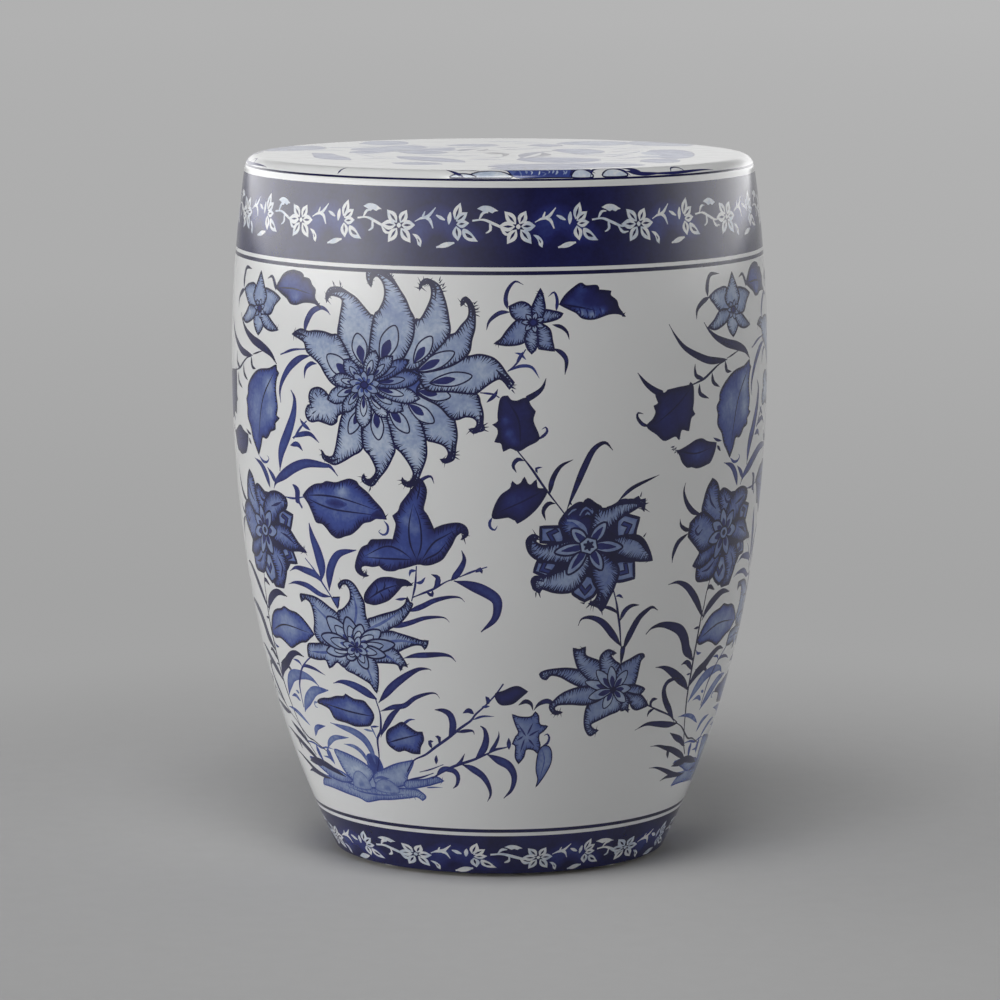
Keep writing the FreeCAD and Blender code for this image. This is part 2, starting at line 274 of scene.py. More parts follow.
# ---------------------------------------------------------------- the body's print
def stars(p):
    """The two six-pointed flowers near the top of each sheet."""
    for petal in (
            [(20, 373), (14, 376.8), (6, 374, 1), (8, 368), (14, 364), (21, 364)],
            [(12, 366), (5, 359.5), (1, 354), (-3.2, 351.2, 1), (6, 350), (15, 351.8), (19, 358),
             (20, 363)],
            [(16, 356), (17, 349), (20, 344.8, 1), (23.2, 349), (24, 356), (21, 363)],
            [(24, 353), (24.5, 347.8, 1), (34.2, 346.3, 1), (33, 352), (31, 360), (24, 363)],
            [(27, 364), (36.5, 366.2), (39.8, 369.2, 1), (35, 370.6), (27, 371.5), (22, 366)],
            [(20, 371), (22.6, 378.5), (25.8, 384.8, 1), (27.6, 379), (28.3, 371), (24, 364)]):
        p.fringed(petal, 0.38, 1.3, 3.4, 1.6, 1.0, rim=0.50)
    for petal in (
            [(172, 378), (160, 378), (151.5, 374.2, 1), (157, 369), (164, 364), (178, 363)],
            [(164, 365), (156, 359), (149.5, 355, 1), (158, 353.2), (170, 357), (178, 363)],
            [(171, 357), (173, 351), (178, 347, 1), (183, 351), (186, 357), (178, 364)],
            [(188, 362), (194.5, 358), (203.5, 352.4, 1), (194, 351.2), (185, 354), (179, 363)],
            [(184, 376.5), (196, 376), (205, 372.5, 1), (199, 368), (193, 361.5), (179, 363)],
            [(169, 371), (173.5, 379), (179, 387.8, 1), (184.5, 379), (188, 371), (179, 364)]):
        p.fringed(petal, 0.29, 1.3, 3.4, 1.7, 1.0, rim=0.38)
    for heart in ((21, 364), (179, 364)):
        for k in range(7):
            a = k * 0.9 + 0.4
            p.fill([heart + (1,), spoke(heart, 5, 4.4, a + 0.36), spoke(heart, 7.5, 6.4, a) + (1,),
                spoke(heart, 5, 4.4, a - 0.36)], 0.36, 0.9)
            p.blade([heart, spoke(heart, 4.4, 3.8, a)], 1.7, 0.6, LINE)
        p.fill(diamond(heart, 2.4, 2.2), DEEP, 0.8)


def pinwheel(p):
    """The large flower whose petals end in hooks."""
    p.fill([(-82, 310), (-58, 308), (-38, 316), (-34, 330), (-46, 346), (-66, 352), (-90, 348),
        (-104, 332), (-98, 314)], 0.60, 0)
    petals = [
        [(-107.5, 352), (-107, 362), (-105.8, 369), (-105.4, 375.5), (-111, 377.6), (-115.5, 377.2),
         (-117.8, 373, 1), (-118.3, 377.8), (-115, 382), (-107.5, 382.6), (-101, 380), (-95, 377),
         (-90, 372.6), (-84, 367), (-81.3, 365.5), (-80, 352), (-86, 334), (-98, 338)],
        [(-107, 352), (-113, 353), (-120, 354.4), (-127.5, 354.4), (-133, 353.6), (-140, 354.6),
         (-148, 351, 1), (-141, 348.8), (-136.3, 346.5), (-134, 341.3), (-128.8, 338),
         (-122.5, 333.8), (-117.5, 327.5), (-112, 322.5), (-104, 320), (-93, 323), (-97, 337)],
        [(-108, 302.5), (-108.8, 298.8), (-113, 296.3), (-118, 297), (-124, 298), (-130, 297),
         (-134, 298.8), (-135.2, 303), (-133, 307, 1), (-130.8, 308), (-132, 312.5), (-130, 317),
         (-124, 319), (-118.8, 317.5), (-114, 314), (-104, 312), (-100, 307)],
        [(-90, 283), (-97.5, 278), (-105, 273.8), (-111.3, 271.3), (-116, 272.2), (-121, 274.5),
         (-121.8, 279.6, 1), (-119, 276.2), (-113.5, 276), (-110.5, 281.3), (-108, 291.3),
         (-106.5, 297.5), (-104, 304), (-97, 313), (-88, 312), (-88, 296)],
        [(-66.9, 284.4), (-68.8, 278.8), (-73, 271.3), (-78.8, 264.6), (-83, 260), (-87.5, 260.4),
         (-90.8, 263), (-89.4, 266.8, 1), (-88.2, 263.8), (-85, 263.6), (-81.3, 267),
         (-80.6, 271.3), (-84.5, 278.8), (-89, 284), (-90, 297), (-86, 310), (-76, 311),
         (-69, 298)],
        [(-48, 298.8), (-46.3, 288.8), (-46.3, 280), (-49.4, 271.3), (-53, 263.8), (-57.5, 260.4),
         (-61.9, 262), (-62.6, 266, 1), (-60.4, 263.4), (-57, 264), (-54.8, 268.8), (-57.5, 275),
         (-62.5, 281.6), (-67, 286), (-70, 296), (-72, 308), (-60, 314), (-51, 308)],
        [(-30, 308.8), (-27.5, 301.3), (-26.5, 293.8), (-27.5, 286.3), (-28.2, 280), (-30, 277.8),
         (-34.4, 276.4), (-37.2, 278.4, 1), (-33.5, 278.8), (-31.8, 281.5), (-33, 285.4),
         (-36.3, 288), (-41.3, 289.4), (-46, 291), (-49, 300), (-56, 312), (-48, 322), (-36, 316)],
        [(-14.4, 320), (-11.9, 313.8), (-10.3, 307.5), (-10.4, 301), (-9.4, 297.6), (-13, 296.4),
         (-16.3, 295.4), (-18.8, 297.8, 1), (-14.8, 298.6), (-13.8, 302.3), (-16.3, 305),
         (-21.3, 305.6), (-26.3, 303.8), (-31, 305), (-38, 312), (-52, 320), (-44, 329),
         (-26, 324)],
        [(-19.4, 343), (-12.5, 344.2), (-5, 342.6), (0, 338.8), (4.4, 332.5), (8.9, 326.9, 1),
         (6.2, 323, 1), (3.2, 327.2), (0, 329.4), (-5, 327.2), (-10, 323.6), (-16, 320), (-30, 321),
         (-46, 322), (-50, 334), (-34, 341)],
        [(-32, 355.6), (-27.5, 357.3), (-23.8, 362), (-19.6, 367), (-18.9, 372.5), (-20.8, 377),
         (-24, 374.2, 1), (-23.6, 377.6), (-21.3, 379.6), (-18, 376.8), (-15.6, 371.3),
         (-15.4, 361.3), (-17.3, 353.8), (-20, 344), (-33, 336), (-52, 333), (-50, 345),
         (-38, 351)],
        [(-54, 364.6), (-50, 365.4), (-46.3, 371.3), (-43.2, 378.8), (-43.1, 385), (-45.6, 388.4),
         (-48.6, 387.6), (-50.8, 383.4, 1), (-50.4, 387), (-47.5, 390.2), (-43.8, 389.8),
         (-38.8, 387), (-36.2, 382.5), (-33.6, 375), (-31.9, 366.3), (-31.6, 356), (-42, 344),
         (-54, 334), (-64, 338), (-60, 352)],
        [(-81.3, 366.3), (-78, 370), (-74.8, 376.5), (-74.2, 382.5), (-76, 388), (-80, 391.4),
         (-83, 389.6), (-84, 384.3, 1), (-87, 389), (-86.5, 395.4), (-78, 397.5), (-70, 391),
         (-63.6, 382.5), (-60, 377.5), (-57, 371), (-53.8, 364), (-56, 350), (-66, 336), (-84, 333),
         (-84, 350)],]
    drops = [((-89, 336), (-93.5, 355), 11), ((-97, 327), (-116.5, 340), 11), None,
        ((-90, 308), (-99.5, 291.5), 8), ((-80, 308), (-78, 289), 9),
        ((-71, 310), (-57.5, 294.5), 9), ((-58, 313), (-41, 301.5), 9),
        ((-52, 321), (-30.5, 318), 8.5), ((-44, 326), (-17, 331), 8.5),
        ((-52, 333), (-28, 345.6), 9), ((-54, 338), (-42.5, 355), 9),
        ((-76, 338), (-66.5, 361), 12)]
    for i, (petal, drop) in enumerate(zip(petals, drops)):
        p.fringed(petal, 0.23 + 0.04 * wave(i, 2.0), 1.3, 4.4, 2.0, 1.15, rim=0.36, seed=i)
        if drop:
            p.teardrop(*drop, tone=0.24, line=1.0)
    # the dark tips of the hooks
    for points, width in (
            ([(-98, 378.6), (-104, 380.6), (-111, 380.6), (-116, 378.6), (-117.8, 374)], 3.6),
            ([(-67, 386), (-73, 391), (-79, 394), (-84, 391.6), (-85, 386.4)], 4.8),
            ([(-40.6, 378), (-40.6, 384.6), (-44.5, 388.6), (-50, 386)], 3.4),
            ([(-17.2, 365), (-16.8, 372.5), (-20, 378.2), (-23.4, 375.8)], 3.4),
            ([(-2, 335), (2.5, 330), (7.2, 325)], 4.2),
            ([(-12.2, 309), (-11.6, 301.5), (-13.5, 297.4), (-18, 297.6)], 3.0),
            ([(-29.4, 290), (-29.8, 282.4), (-32.6, 277.8), (-36.6, 278)], 3.4),
            ([(-51.6, 272), (-54, 266), (-57.6, 262.2), (-62, 264.4)], 3.6),
            ([(-77.5, 270), (-82, 264.4), (-86.6, 261.8), (-90, 265)], 4.0),
            ([(-107, 275.6), (-113, 273.6), (-118, 274.6), (-121.4, 278)], 3.0),
            ([(-134, 350.4), (-141, 351.6), (-147, 351)], 2.8)):
        p.blade(points, 0.72 * width, 0.62, LINE, 0.3)
    # the rounded petal's rays
    for k in range(11):
        a = 0.9 + k * 0.42
        p.blade([spoke((-120, 308), 13, 10, a), spoke((-120, 308), 7, 5.5, a)], 1.0, 0.2, LINE)
    heart = (-88, 323)
    for i, (tip, w, tone) in enumerate((((-116, 312), 11, 0.27), ((-104, 305), 9, 0.25),
            ((-89, 295.5), 12, 0.22), ((-72, 303), 10, 0.24), ((-61, 308), 12, 0.30),
            ((-50, 316), 11, 0.28), ((-49, 330), 11, 0.44), ((-57, 340), 9, 0.46),
            ((-68, 342), 9, 0.30), ((-80, 345), 10, 0.24), ((-103, 338), 10, 0.38),
            ((-112, 326), 9, 0.30))):
        at = petal_frame(heart, tip, w)
        p.fringed([at(0.1, 0), at(0.45, 0.42), at(0.8, 0.42), at(1, 0) + (1,), at(0.8, -0.42),
            at(0.45, -0.42)], tone, 1.1, 2.8, 1.9, 0.9, rim=tone + 0.10, seed=i + 20)
        p.teardrop(at(0.25, 0), at(0.72, 0), w * 0.42, tone - 0.04, DEEP, 0.8)
    for a in turns(9, 0.2):
        p.teardrop(heart, spoke(heart, 11, 8.5, a), 5.0, 0.34, BLUE, 0.8)
    p.fill(diamond(heart, 3, 2.4), DEEP, 1.0)
    # hairs at the hooks
    for x, y, a in ((-16, 374, 0.3), (-15, 370.5, 0.1), (-38, 388, 0.9), (-36, 384.5, 0.6),
            (-70, 390, 0.9), (-112, 382.8, 1.7), (-107, 383, 1.4), (-27.6, 281.5, 0.0),
            (-9.6, 299, 0.1), (7.6, 324, -0.4), (-85, 259.6, -1.5), (-57, 260.2, -1.5)):
        for turn in (-0.5, 0.0, 0.45):
            p.hair((x, y + 3 * turn), 3.2, a + turn, 0.9)


def sepal(p, corners, heart, tone=0.42):
    """A square leaf behind a flower: a dark border, and a dark chevron that points away from
    the flower's heart."""
    p.fill(corners, tone, 2.2, rim=0.5, reach=1.0)
    mid = np.mean([np.array(q[:2], float) for q in corners], 0)
    out = mid - np.array(heart, float)
    out /= np.linalg.norm(out)
    side = np.array([-out[1], out[0]])

    def at(u, v):
        return tuple(mid + out * u + side * v)

    p.fill([at(3.4, 0) + (1,), at(-1.6, 4.4) + (1,), at(-4, 3.2) + (1,), at(-0.4, 0) + (1,),
        at(-4, -3.2) + (1,), at(-1.6, -4.4) + (1,)], 0.74, 1.0)


def dark_flower(p):
    """The rounder, darker flower on the right, with square sepals behind it."""
    heart = (58.5, 222.8)
    p.fill([(30, 233), (42, 236), (58, 244), (80, 240), (92, 236), (91, 214), (90, 202), (76, 198),
        (62, 190), (52, 192), (30, 207), (34, 220)], LINE, 0)
    for square in (
            [(26.3, 235.8, 1), (39.5, 235.8, 1), (41, 226), (26.5, 226.3, 1)],
            [(24.6, 213.8, 1), (22.6, 207.3, 1), (31.5, 203.6, 1), (37, 212)],
            [(79, 241), (93.7, 238.5, 1), (90.8, 228, 1), (79, 226)],
            [(79, 211), (91.6, 210.8, 1), (92.8, 199.8, 1), (79, 199.2)],
            [(48.6, 194.2), (52.5, 190), (57.5, 187.3, 1), (64, 191), (66, 199), (56, 204)]):
        sepal(p, square, heart)
    for i, (tone, petal) in enumerate((
            (0.87, [(38.6, 236), (41.3, 243), (46.3, 248), (51, 250.4), (54, 250, 1), (56.9, 252.6),
             (62.5, 249), (66.3, 246), (65, 236), (59, 225), (48, 227)]),
            (0.34, [(63, 246), (69, 245.8), (75, 247.8), (81, 250.8), (88, 250.2), (92.5, 252, 1),
             (94, 249.6), (97.6, 250.2, 1), (97, 242.6, 1), (94.6, 246), (88, 243.4), (80, 239.4),
             (72.5, 233), (60, 225), (60, 238)]),
            (0.33, [(67, 223), (77.5, 227.2), (90, 227.6), (96.3, 225.6), (101.3, 220),
             (106.2, 210.4, 1), (96.3, 210.8), (87.5, 212.5), (77.5, 216.5), (66, 219), (60, 222)]),
            (0.42, [(80.5, 207), (78, 195), (75, 188.8), (72.5, 183.5), (70, 180, 1), (67, 183),
             (60.6, 185.4, 1), (65, 187.5), (66.5, 193), (62.5, 200), (60.6, 210), (59, 221),
             (70, 217)]),
            (0.31, [(29, 204.2), (23, 204), (21, 201.3), (22.5, 197), (26.3, 193.6, 1), (28, 196.4),
             (35, 194.2), (42, 193.3), (49, 194.4), (56, 201), (60, 211), (58, 221), (49, 213),
             (41, 208)]),
            (0.33, [(25, 229.8, 1), (21, 230.8), (17.6, 227.5), (18, 222.5), (20.6, 218),
             (26.3, 214.6), (36.3, 212.6), (47, 213), (57, 220), (55, 226), (46, 226.5),
             (35, 224.6), (27.5, 223.9), (22.8, 226.8)]))):
        p.fringed(petal, tone, 1.7, 5.2, 1.6, 1.25, rim=min(tone + 0.14, LINE), seed=i + 40,
            glow=[(44, 235, 5.5, 0.34), (50, 231, 5, 0.24)] if i == 0 else ())
        if i == 0:  # the pale strokes on the topmost petal
            for points, width in (
                    ([(51.6, 242.4), (54.4, 246.4), (58, 246.8), (61.4, 242.4)], 2.0),
                    ([(55, 241.6), (56.8, 244), (58.6, 241.8)], 1.5),
                    ([(43.4, 239.6), (48.4, 238.8), (54, 235), (57, 230)], 3.0),
                    ([(44, 243), (46.6, 245.6), (49.4, 246.6)], 1.2)):
                p.blade(points, width, 0.7, 0.46, 0.4)
    for points, width in (
            ([(70, 246.6), (80, 249), (89, 249.4), (97.5, 246)], 3.6),
            ([(84, 226.6), (95, 224), (103, 216), (106, 211)], 3.6),
            ([(69, 192), (70.5, 186), (69, 181)], 4.6),
            ([(62, 186), (67, 186), (72, 184)], 2.6),
            ([(29, 201), (23.6, 202), (22.6, 197), (26.2, 194)], 2.8),
            ([(26, 228), (20, 228), (20, 221)], 2.6),
            ([(52, 247.5), (56, 248.6), (60, 245.5)], 1.6),
            ([(52, 240), (57, 242), (62, 238)], 2.0)):
        p.blade(points, width, 0.6, LINE, 0.3)
    for x, y, a in ((24, 194, -1.6), (26, 193.4, -1.2), (57.5, 185.6, 2.9), (61, 184.6, -2.4),
            (94, 252, 1.3), (97.4, 247, 0.2), (70, 180.4, -1.3), (98, 226, 0.9), (46, 249.4, 2.0)):
        p.hair((x, y), 3.4, a, 1.1)
    for tip, w in (((46.5, 234), 8.4), ((70, 237.2), 8.4), ((82.6, 220.6), 8), ((68.5, 206.6), 8.4),
            ((44.6, 205), 8.4), ((35.6, 219.4), 7.6)):
        p.teardrop(heart, tip, w, 0.37, 0.80, 1.4)
        p.blade([between(heart, tip, 0.16), between(heart, tip, 0.80)], w * 0.46, 0.5, 0.80, 0.2)
    p.fill([spoke(heart, 6.6, 5.8, a) + (1,) for a in turns(6, 0.72)], 0.34, 1.2)
    for a in turns(6, 0.72):
        p.blade([heart, spoke(heart, 3.9, 3.5, a)], 2.6, 0.3, LINE, 0.4)


def side_flower(p):
    """The flower that straddles the seam between two sheets."""
    heart = (176, 221)
    p.fill([(150, 234), (172, 246), (200, 244), (208, 226), (208, 206), (192, 192), (168, 194),
        (150, 206)], LINE, 0)
    for square in (
            [(199, 237), (213.5, 234.8, 1), (210, 226, 1), (198, 226)],
            [(198, 211), (206.5, 212.4), (210.5, 210, 1), (213.3, 203.8, 1), (199, 203, 1)],
            [(166, 205), (169, 193), (177, 187, 1), (184, 190), (183, 204)]):
        sepal(p, square, heart, 0.40)
    for i, petal in enumerate((
            [(149.5, 236), (149.6, 245), (152.5, 252.5), (157, 257.8, 1), (163, 254), (167, 246),
             (172, 236), (168, 226)],
            [(165, 245), (170, 250), (178, 247.5), (184, 243), (181, 232), (172, 234)],
            [(177, 236), (185, 245), (194, 248), (203, 247), (208, 244), (207, 239), (199, 235),
             (190, 227), (178, 226)],
            [(186, 224.5), (196.5, 227.4), (206.5, 226.5), (211.5, 222.5), (217, 217),
             (224.5, 212, 1), (217, 212.4), (206.5, 211.5), (196.5, 213.4), (184, 218)],
            [(183, 213), (196, 211), (201, 203), (199, 195), (193.5, 185.4, 1), (182, 185, 1),
             (179.5, 188), (186, 192), (181, 203), (176, 214)],
            [(150, 203.5), (148, 199), (149.5, 193), (157, 191.8), (167, 193), (174, 203),
             (176, 214), (163, 209)],
            [(153, 213), (149, 209.5), (143.8, 203, 1), (152, 201), (162, 205), (174, 216),
             (164, 216)],
            [(152, 236.5), (145, 236), (137.3, 231.2, 1), (136.5, 222.8, 1), (144, 216.4),
             (151, 211.6), (162, 214), (172, 221), (164, 229)])):
        p.fringed(petal, 0.45, 1.7, 5.0, 1.6, 1.25, rim=0.62, seed=i + 60)
    for tip, w in (((193, 222), 7), ((187, 234), 7), ((172, 237), 6.5), ((161, 229), 6.5),
            ((158, 217), 6.5), ((167, 205), 6.5), ((184, 206), 7)):
        p.teardrop(heart, tip, w + 1.6, 0.40, 0.80, 1.4)
    for points in ([(154, 250), (157, 243), (163, 238)], [(172, 246), (176, 241), (182, 241)],
            [(189, 238), (196, 240), (202, 242)], [(198, 222), (206, 220), (213, 216)],
            [(190, 206), (195, 199), (191, 191)], [(154, 198), (161, 199), (168, 204)],
            [(150, 226), (146, 223), (143, 226), (146, 229)]):
        p.blade(points, 1.9, 0.5, 0.86, 0.4)
    p.fill([(171, 221), (173.6, 224.6), (178.4, 224.6), (181, 221), (178.4, 217.4), (173.6, 217.4)],
        0.40, 1.3)
    p.fill(diamond(heart, 2.4, 2.2), LINE, 0)


def pale_flower(p):
    """The big pale flower low on the left, drawn half from behind."""
    for i, petal in enumerate((
            [(-93.8, 171.9), (-88.8, 174.4), (-81.3, 177), (-70, 180.6), (-64, 185),
             (-62.5, 189.5, 1), (-60.6, 186), (-58.8, 185.2), (-62.5, 178.8), (-70, 171.3),
             (-76.3, 168.4), (-84, 163), (-96, 160)],
            [(-77.5, 166.2), (-70, 165.2), (-60, 163), (-54, 161.5), (-49.2, 161.6, 1),
             (-50.4, 158.4), (-52.2, 156, 1), (-54, 158.4), (-59, 158.6), (-66, 156.2), (-76, 152),
             (-92, 150), (-90, 162)],
            [(-75, 155), (-68.8, 148.8), (-65.8, 143.6, 1), (-69, 144.6), (-71.4, 140.8, 1),
             (-74, 145), (-85, 145.2), (-97, 145), (-104, 152), (-88, 156)],
            [(-90, 144), (-90, 135), (-91.3, 129), (-93.2, 124.4, 1), (-95, 126.5), (-97.5, 130),
             (-101.3, 132), (-110, 135.4), (-118.8, 139), (-116, 150), (-98, 152)],
            [(-118, 139.5), (-125, 142), (-130, 139), (-134.4, 137, 1), (-136.5, 142),
             (-143, 141.6), (-149, 141.5), (-155.8, 142.2, 1), (-155, 147.5), (-153, 150.6),
             (-147.5, 151.6), (-138, 153), (-120, 158), (-108, 152)],
            [(-153.4, 178.6, 1), (-154, 183), (-149.4, 183.6), (-140, 183.4), (-132.5, 181.4),
             (-125, 177.6), (-119, 174.5), (-108, 165), (-110, 156), (-128, 152), (-140, 154),
             (-144, 160), (-142.2, 166), (-142, 173), (-144, 179), (-149, 181)],
            [(-118.5, 175), (-113.8, 177.6), (-110, 180.4), (-106.2, 185), (-105.8, 191),
             (-108.6, 194.6), (-111.6, 194.4), (-114.5, 191, 1), (-115.2, 193.6), (-111.3, 196.6),
             (-106.3, 197.2), (-102, 195), (-98.4, 190), (-95.2, 183.8), (-94.8, 175), (-92, 166),
             (-98, 156), (-112, 158), (-116, 166)])):
        p.fringed(petal, 0.37 if i > 4 else 0.30, 1.3, 3.8, 1.9, 1.05, rim=0.46, seed=i + 80)
    for vein in ([(-95, 166), (-82, 171.6), (-68, 180)], [(-84, 158), (-70, 160.6), (-56, 159.6)],
            [(-92, 152), (-82, 150), (-72, 145)], [(-104, 146), (-98, 139), (-94.6, 129)],
            [(-122, 150), (-136, 147), (-152, 146)], [(-118, 162), (-132, 172), (-144, 180)],
            [(-106, 166), (-102, 178), (-104, 192)]):
        p.blade(vein, 2.0, 0.3, 0.56)
    base = (-106, 153)
    for tip, w in (((-129, 171), 13), ((-111, 173), 12), ((-99, 169), 10), ((-84, 166), 10),
            ((-74, 158), 9), ((-82, 150), 8), ((-98, 140), 9), ((-115, 145), 9), ((-134, 148), 9),
            ((-137, 158), 10)):
        p.teardrop(base, tip, w, 0.35, BLUE, 1.3)
        p.teardrop(base, between(base, tip, 0.72), w * 0.66, 0.30, 0.68, 0.9)
    for a in turns(7, 0.3):
        p.teardrop(base, spoke((-106, 154), 11, 7, a), 5, 0.34, DEEP)


def hooked_flower(p):
    """The hooked flower on the right above the foot."""
    for i, petal in enumerate((
            [(33.2, 136.8, 1), (30.4, 137.6), (28.3, 140.4), (31.3, 142.2), (37.5, 143.2),
             (47.5, 143.5), (56.3, 142), (63, 139), (72, 134), (76, 128), (66, 129), (57, 131.6),
             (50, 134.8), (43, 138.4), (36.4, 139.6)],
            [(53, 150), (51.4, 156.6, 1), (55.6, 155.4), (60, 157, 1), (60.6, 151.6), (66, 149),
             (71.5, 146.5), (78, 138), (80, 129), (68, 133), (57, 142)],
            [(72, 146), (72.6, 151), (77.5, 154), (84, 151.4, 1), (80, 150.2), (84, 146),
             (88.4, 142.6), (88, 132), (82, 128), (75, 136)],
            [(88, 142.5), (96.3, 146.5), (102.5, 149), (106.5, 149), (108.2, 147.2, 1),
             (105.4, 144.8), (104.6, 139.5), (103.8, 132.5), (101, 127), (88, 124), (84, 131)],
            [(101, 129), (110, 126.6), (113, 125, 1), (110, 122.4), (101, 119.6), (88, 122),
             (90, 128)],
            [(99, 120), (103.8, 113.8), (108.8, 111.7), (115, 112.7), (119, 113.6, 1), (115, 117.6),
             (110, 121.4), (104, 122.6), (90, 126)],
            [(90, 119), (94.6, 112.4), (98, 113), (101.3, 110.8, 1), (100, 114), (99.6, 120),
             (90, 126)],
            [(66.4, 119), (64.4, 112.5), (65, 105), (67.5, 100), (71.3, 97.3), (77, 100.4, 1),
             (72.8, 101.4), (70.2, 105), (77.5, 108), (85, 110.6), (92.6, 113), (94, 119),
             (86, 127), (74, 125)],
            [(36.8, 119.6), (37.4, 116.3), (41.3, 113.2), (46.5, 114.5, 1), (42, 115), (40.2, 117),
             (42.6, 119.5), (52.5, 119.6), (65, 118.6), (76, 121.5), (82, 127), (68, 130.6),
             (57.5, 130.3), (48.8, 128.2), (43, 125.2), (39, 121.6)])):
        p.fringed(petal, 0.36, 1.4, 4.0, 1.8, 1.05, rim=0.50, seed=i + 100)
    for tip, w in (((62, 134), 6), ((70, 141), 7), ((81, 143), 7), ((95, 139), 7), ((100, 127), 6),
            ((97, 118), 6), ((79, 115), 7), ((66, 123), 7)):
        p.teardrop((85, 127), tip, w, WASH, DEEP)
    p.fill(diamond((85, 127), 3, 2.5), LINE, 0)


def low_star(p):
    """The five-pointed flower and the bud low in the middle."""
    loop = p.fill([(9.4, 113.8, 1), (15, 112), (23, 112), (26.3, 115.2, 1), (28.8, 112.5),
        (30, 106.8), (36.2, 105.3, 1), (33, 102), (30, 100), (30, 96), (31.3, 92.5), (30, 86.7, 1),
        (26.3, 89.6), (20.6, 90), (19, 85), (15, 80.3, 1), (12.3, 85), (12.3, 92.5), (9.8, 93.8, 1),
        (12.3, 98.8), (14.4, 101.5), (11.9, 107)], 0.46, 1.1, rim=0.6, reach=1.8)
    p.hatch(loop, 2.4, 2.4, 0.4, 0.8)
    for x, y, u, v in ((20, 99, 14, 107), (21, 100, 25, 108), (22, 99, 30, 103), (22, 97, 27, 92),
            (19, 97, 16, 88), (18, 99, 13, 96)):
        p.blade([(x, y), (u, v)], 1.4, 0.3, DEEP)
    loop = p.fill([(31.3, 90), (33.8, 92), (38, 91.6), (40.6, 88), (41.3, 82.5), (40, 77.5),
        (36.3, 71.3), (33, 67), (30, 63.6, 1), (31.2, 69), (29.4, 75), (29.2, 81.3), (30, 87)],
        0.42, 0.9, rim=0.56, reach=1.6)
    p.blade([(33, 90), (35.5, 82), (33, 70)], 0.9, 0.5, BLUE, 0.35)


def leaf(p, points, tone, rim=LINE, glow=(), veins=(), fringe=1.8, seed=0.0):
    """A leaf with short ticks on both sides of its outline, and veins."""
    loop = p.fill(points, tone, 1.2, rim=rim, reach=2.8, glow=glow)
    p.hatch(loop, fringe, 2.2, 0.5, 1.5, seed=seed)
    p.hatch(loop, -0.9, 3.4, 0.3, 1.3, seed=seed + 0.6)
    for vein in veins:
        p.blade(vein, 1.2, 0.3, LINE)


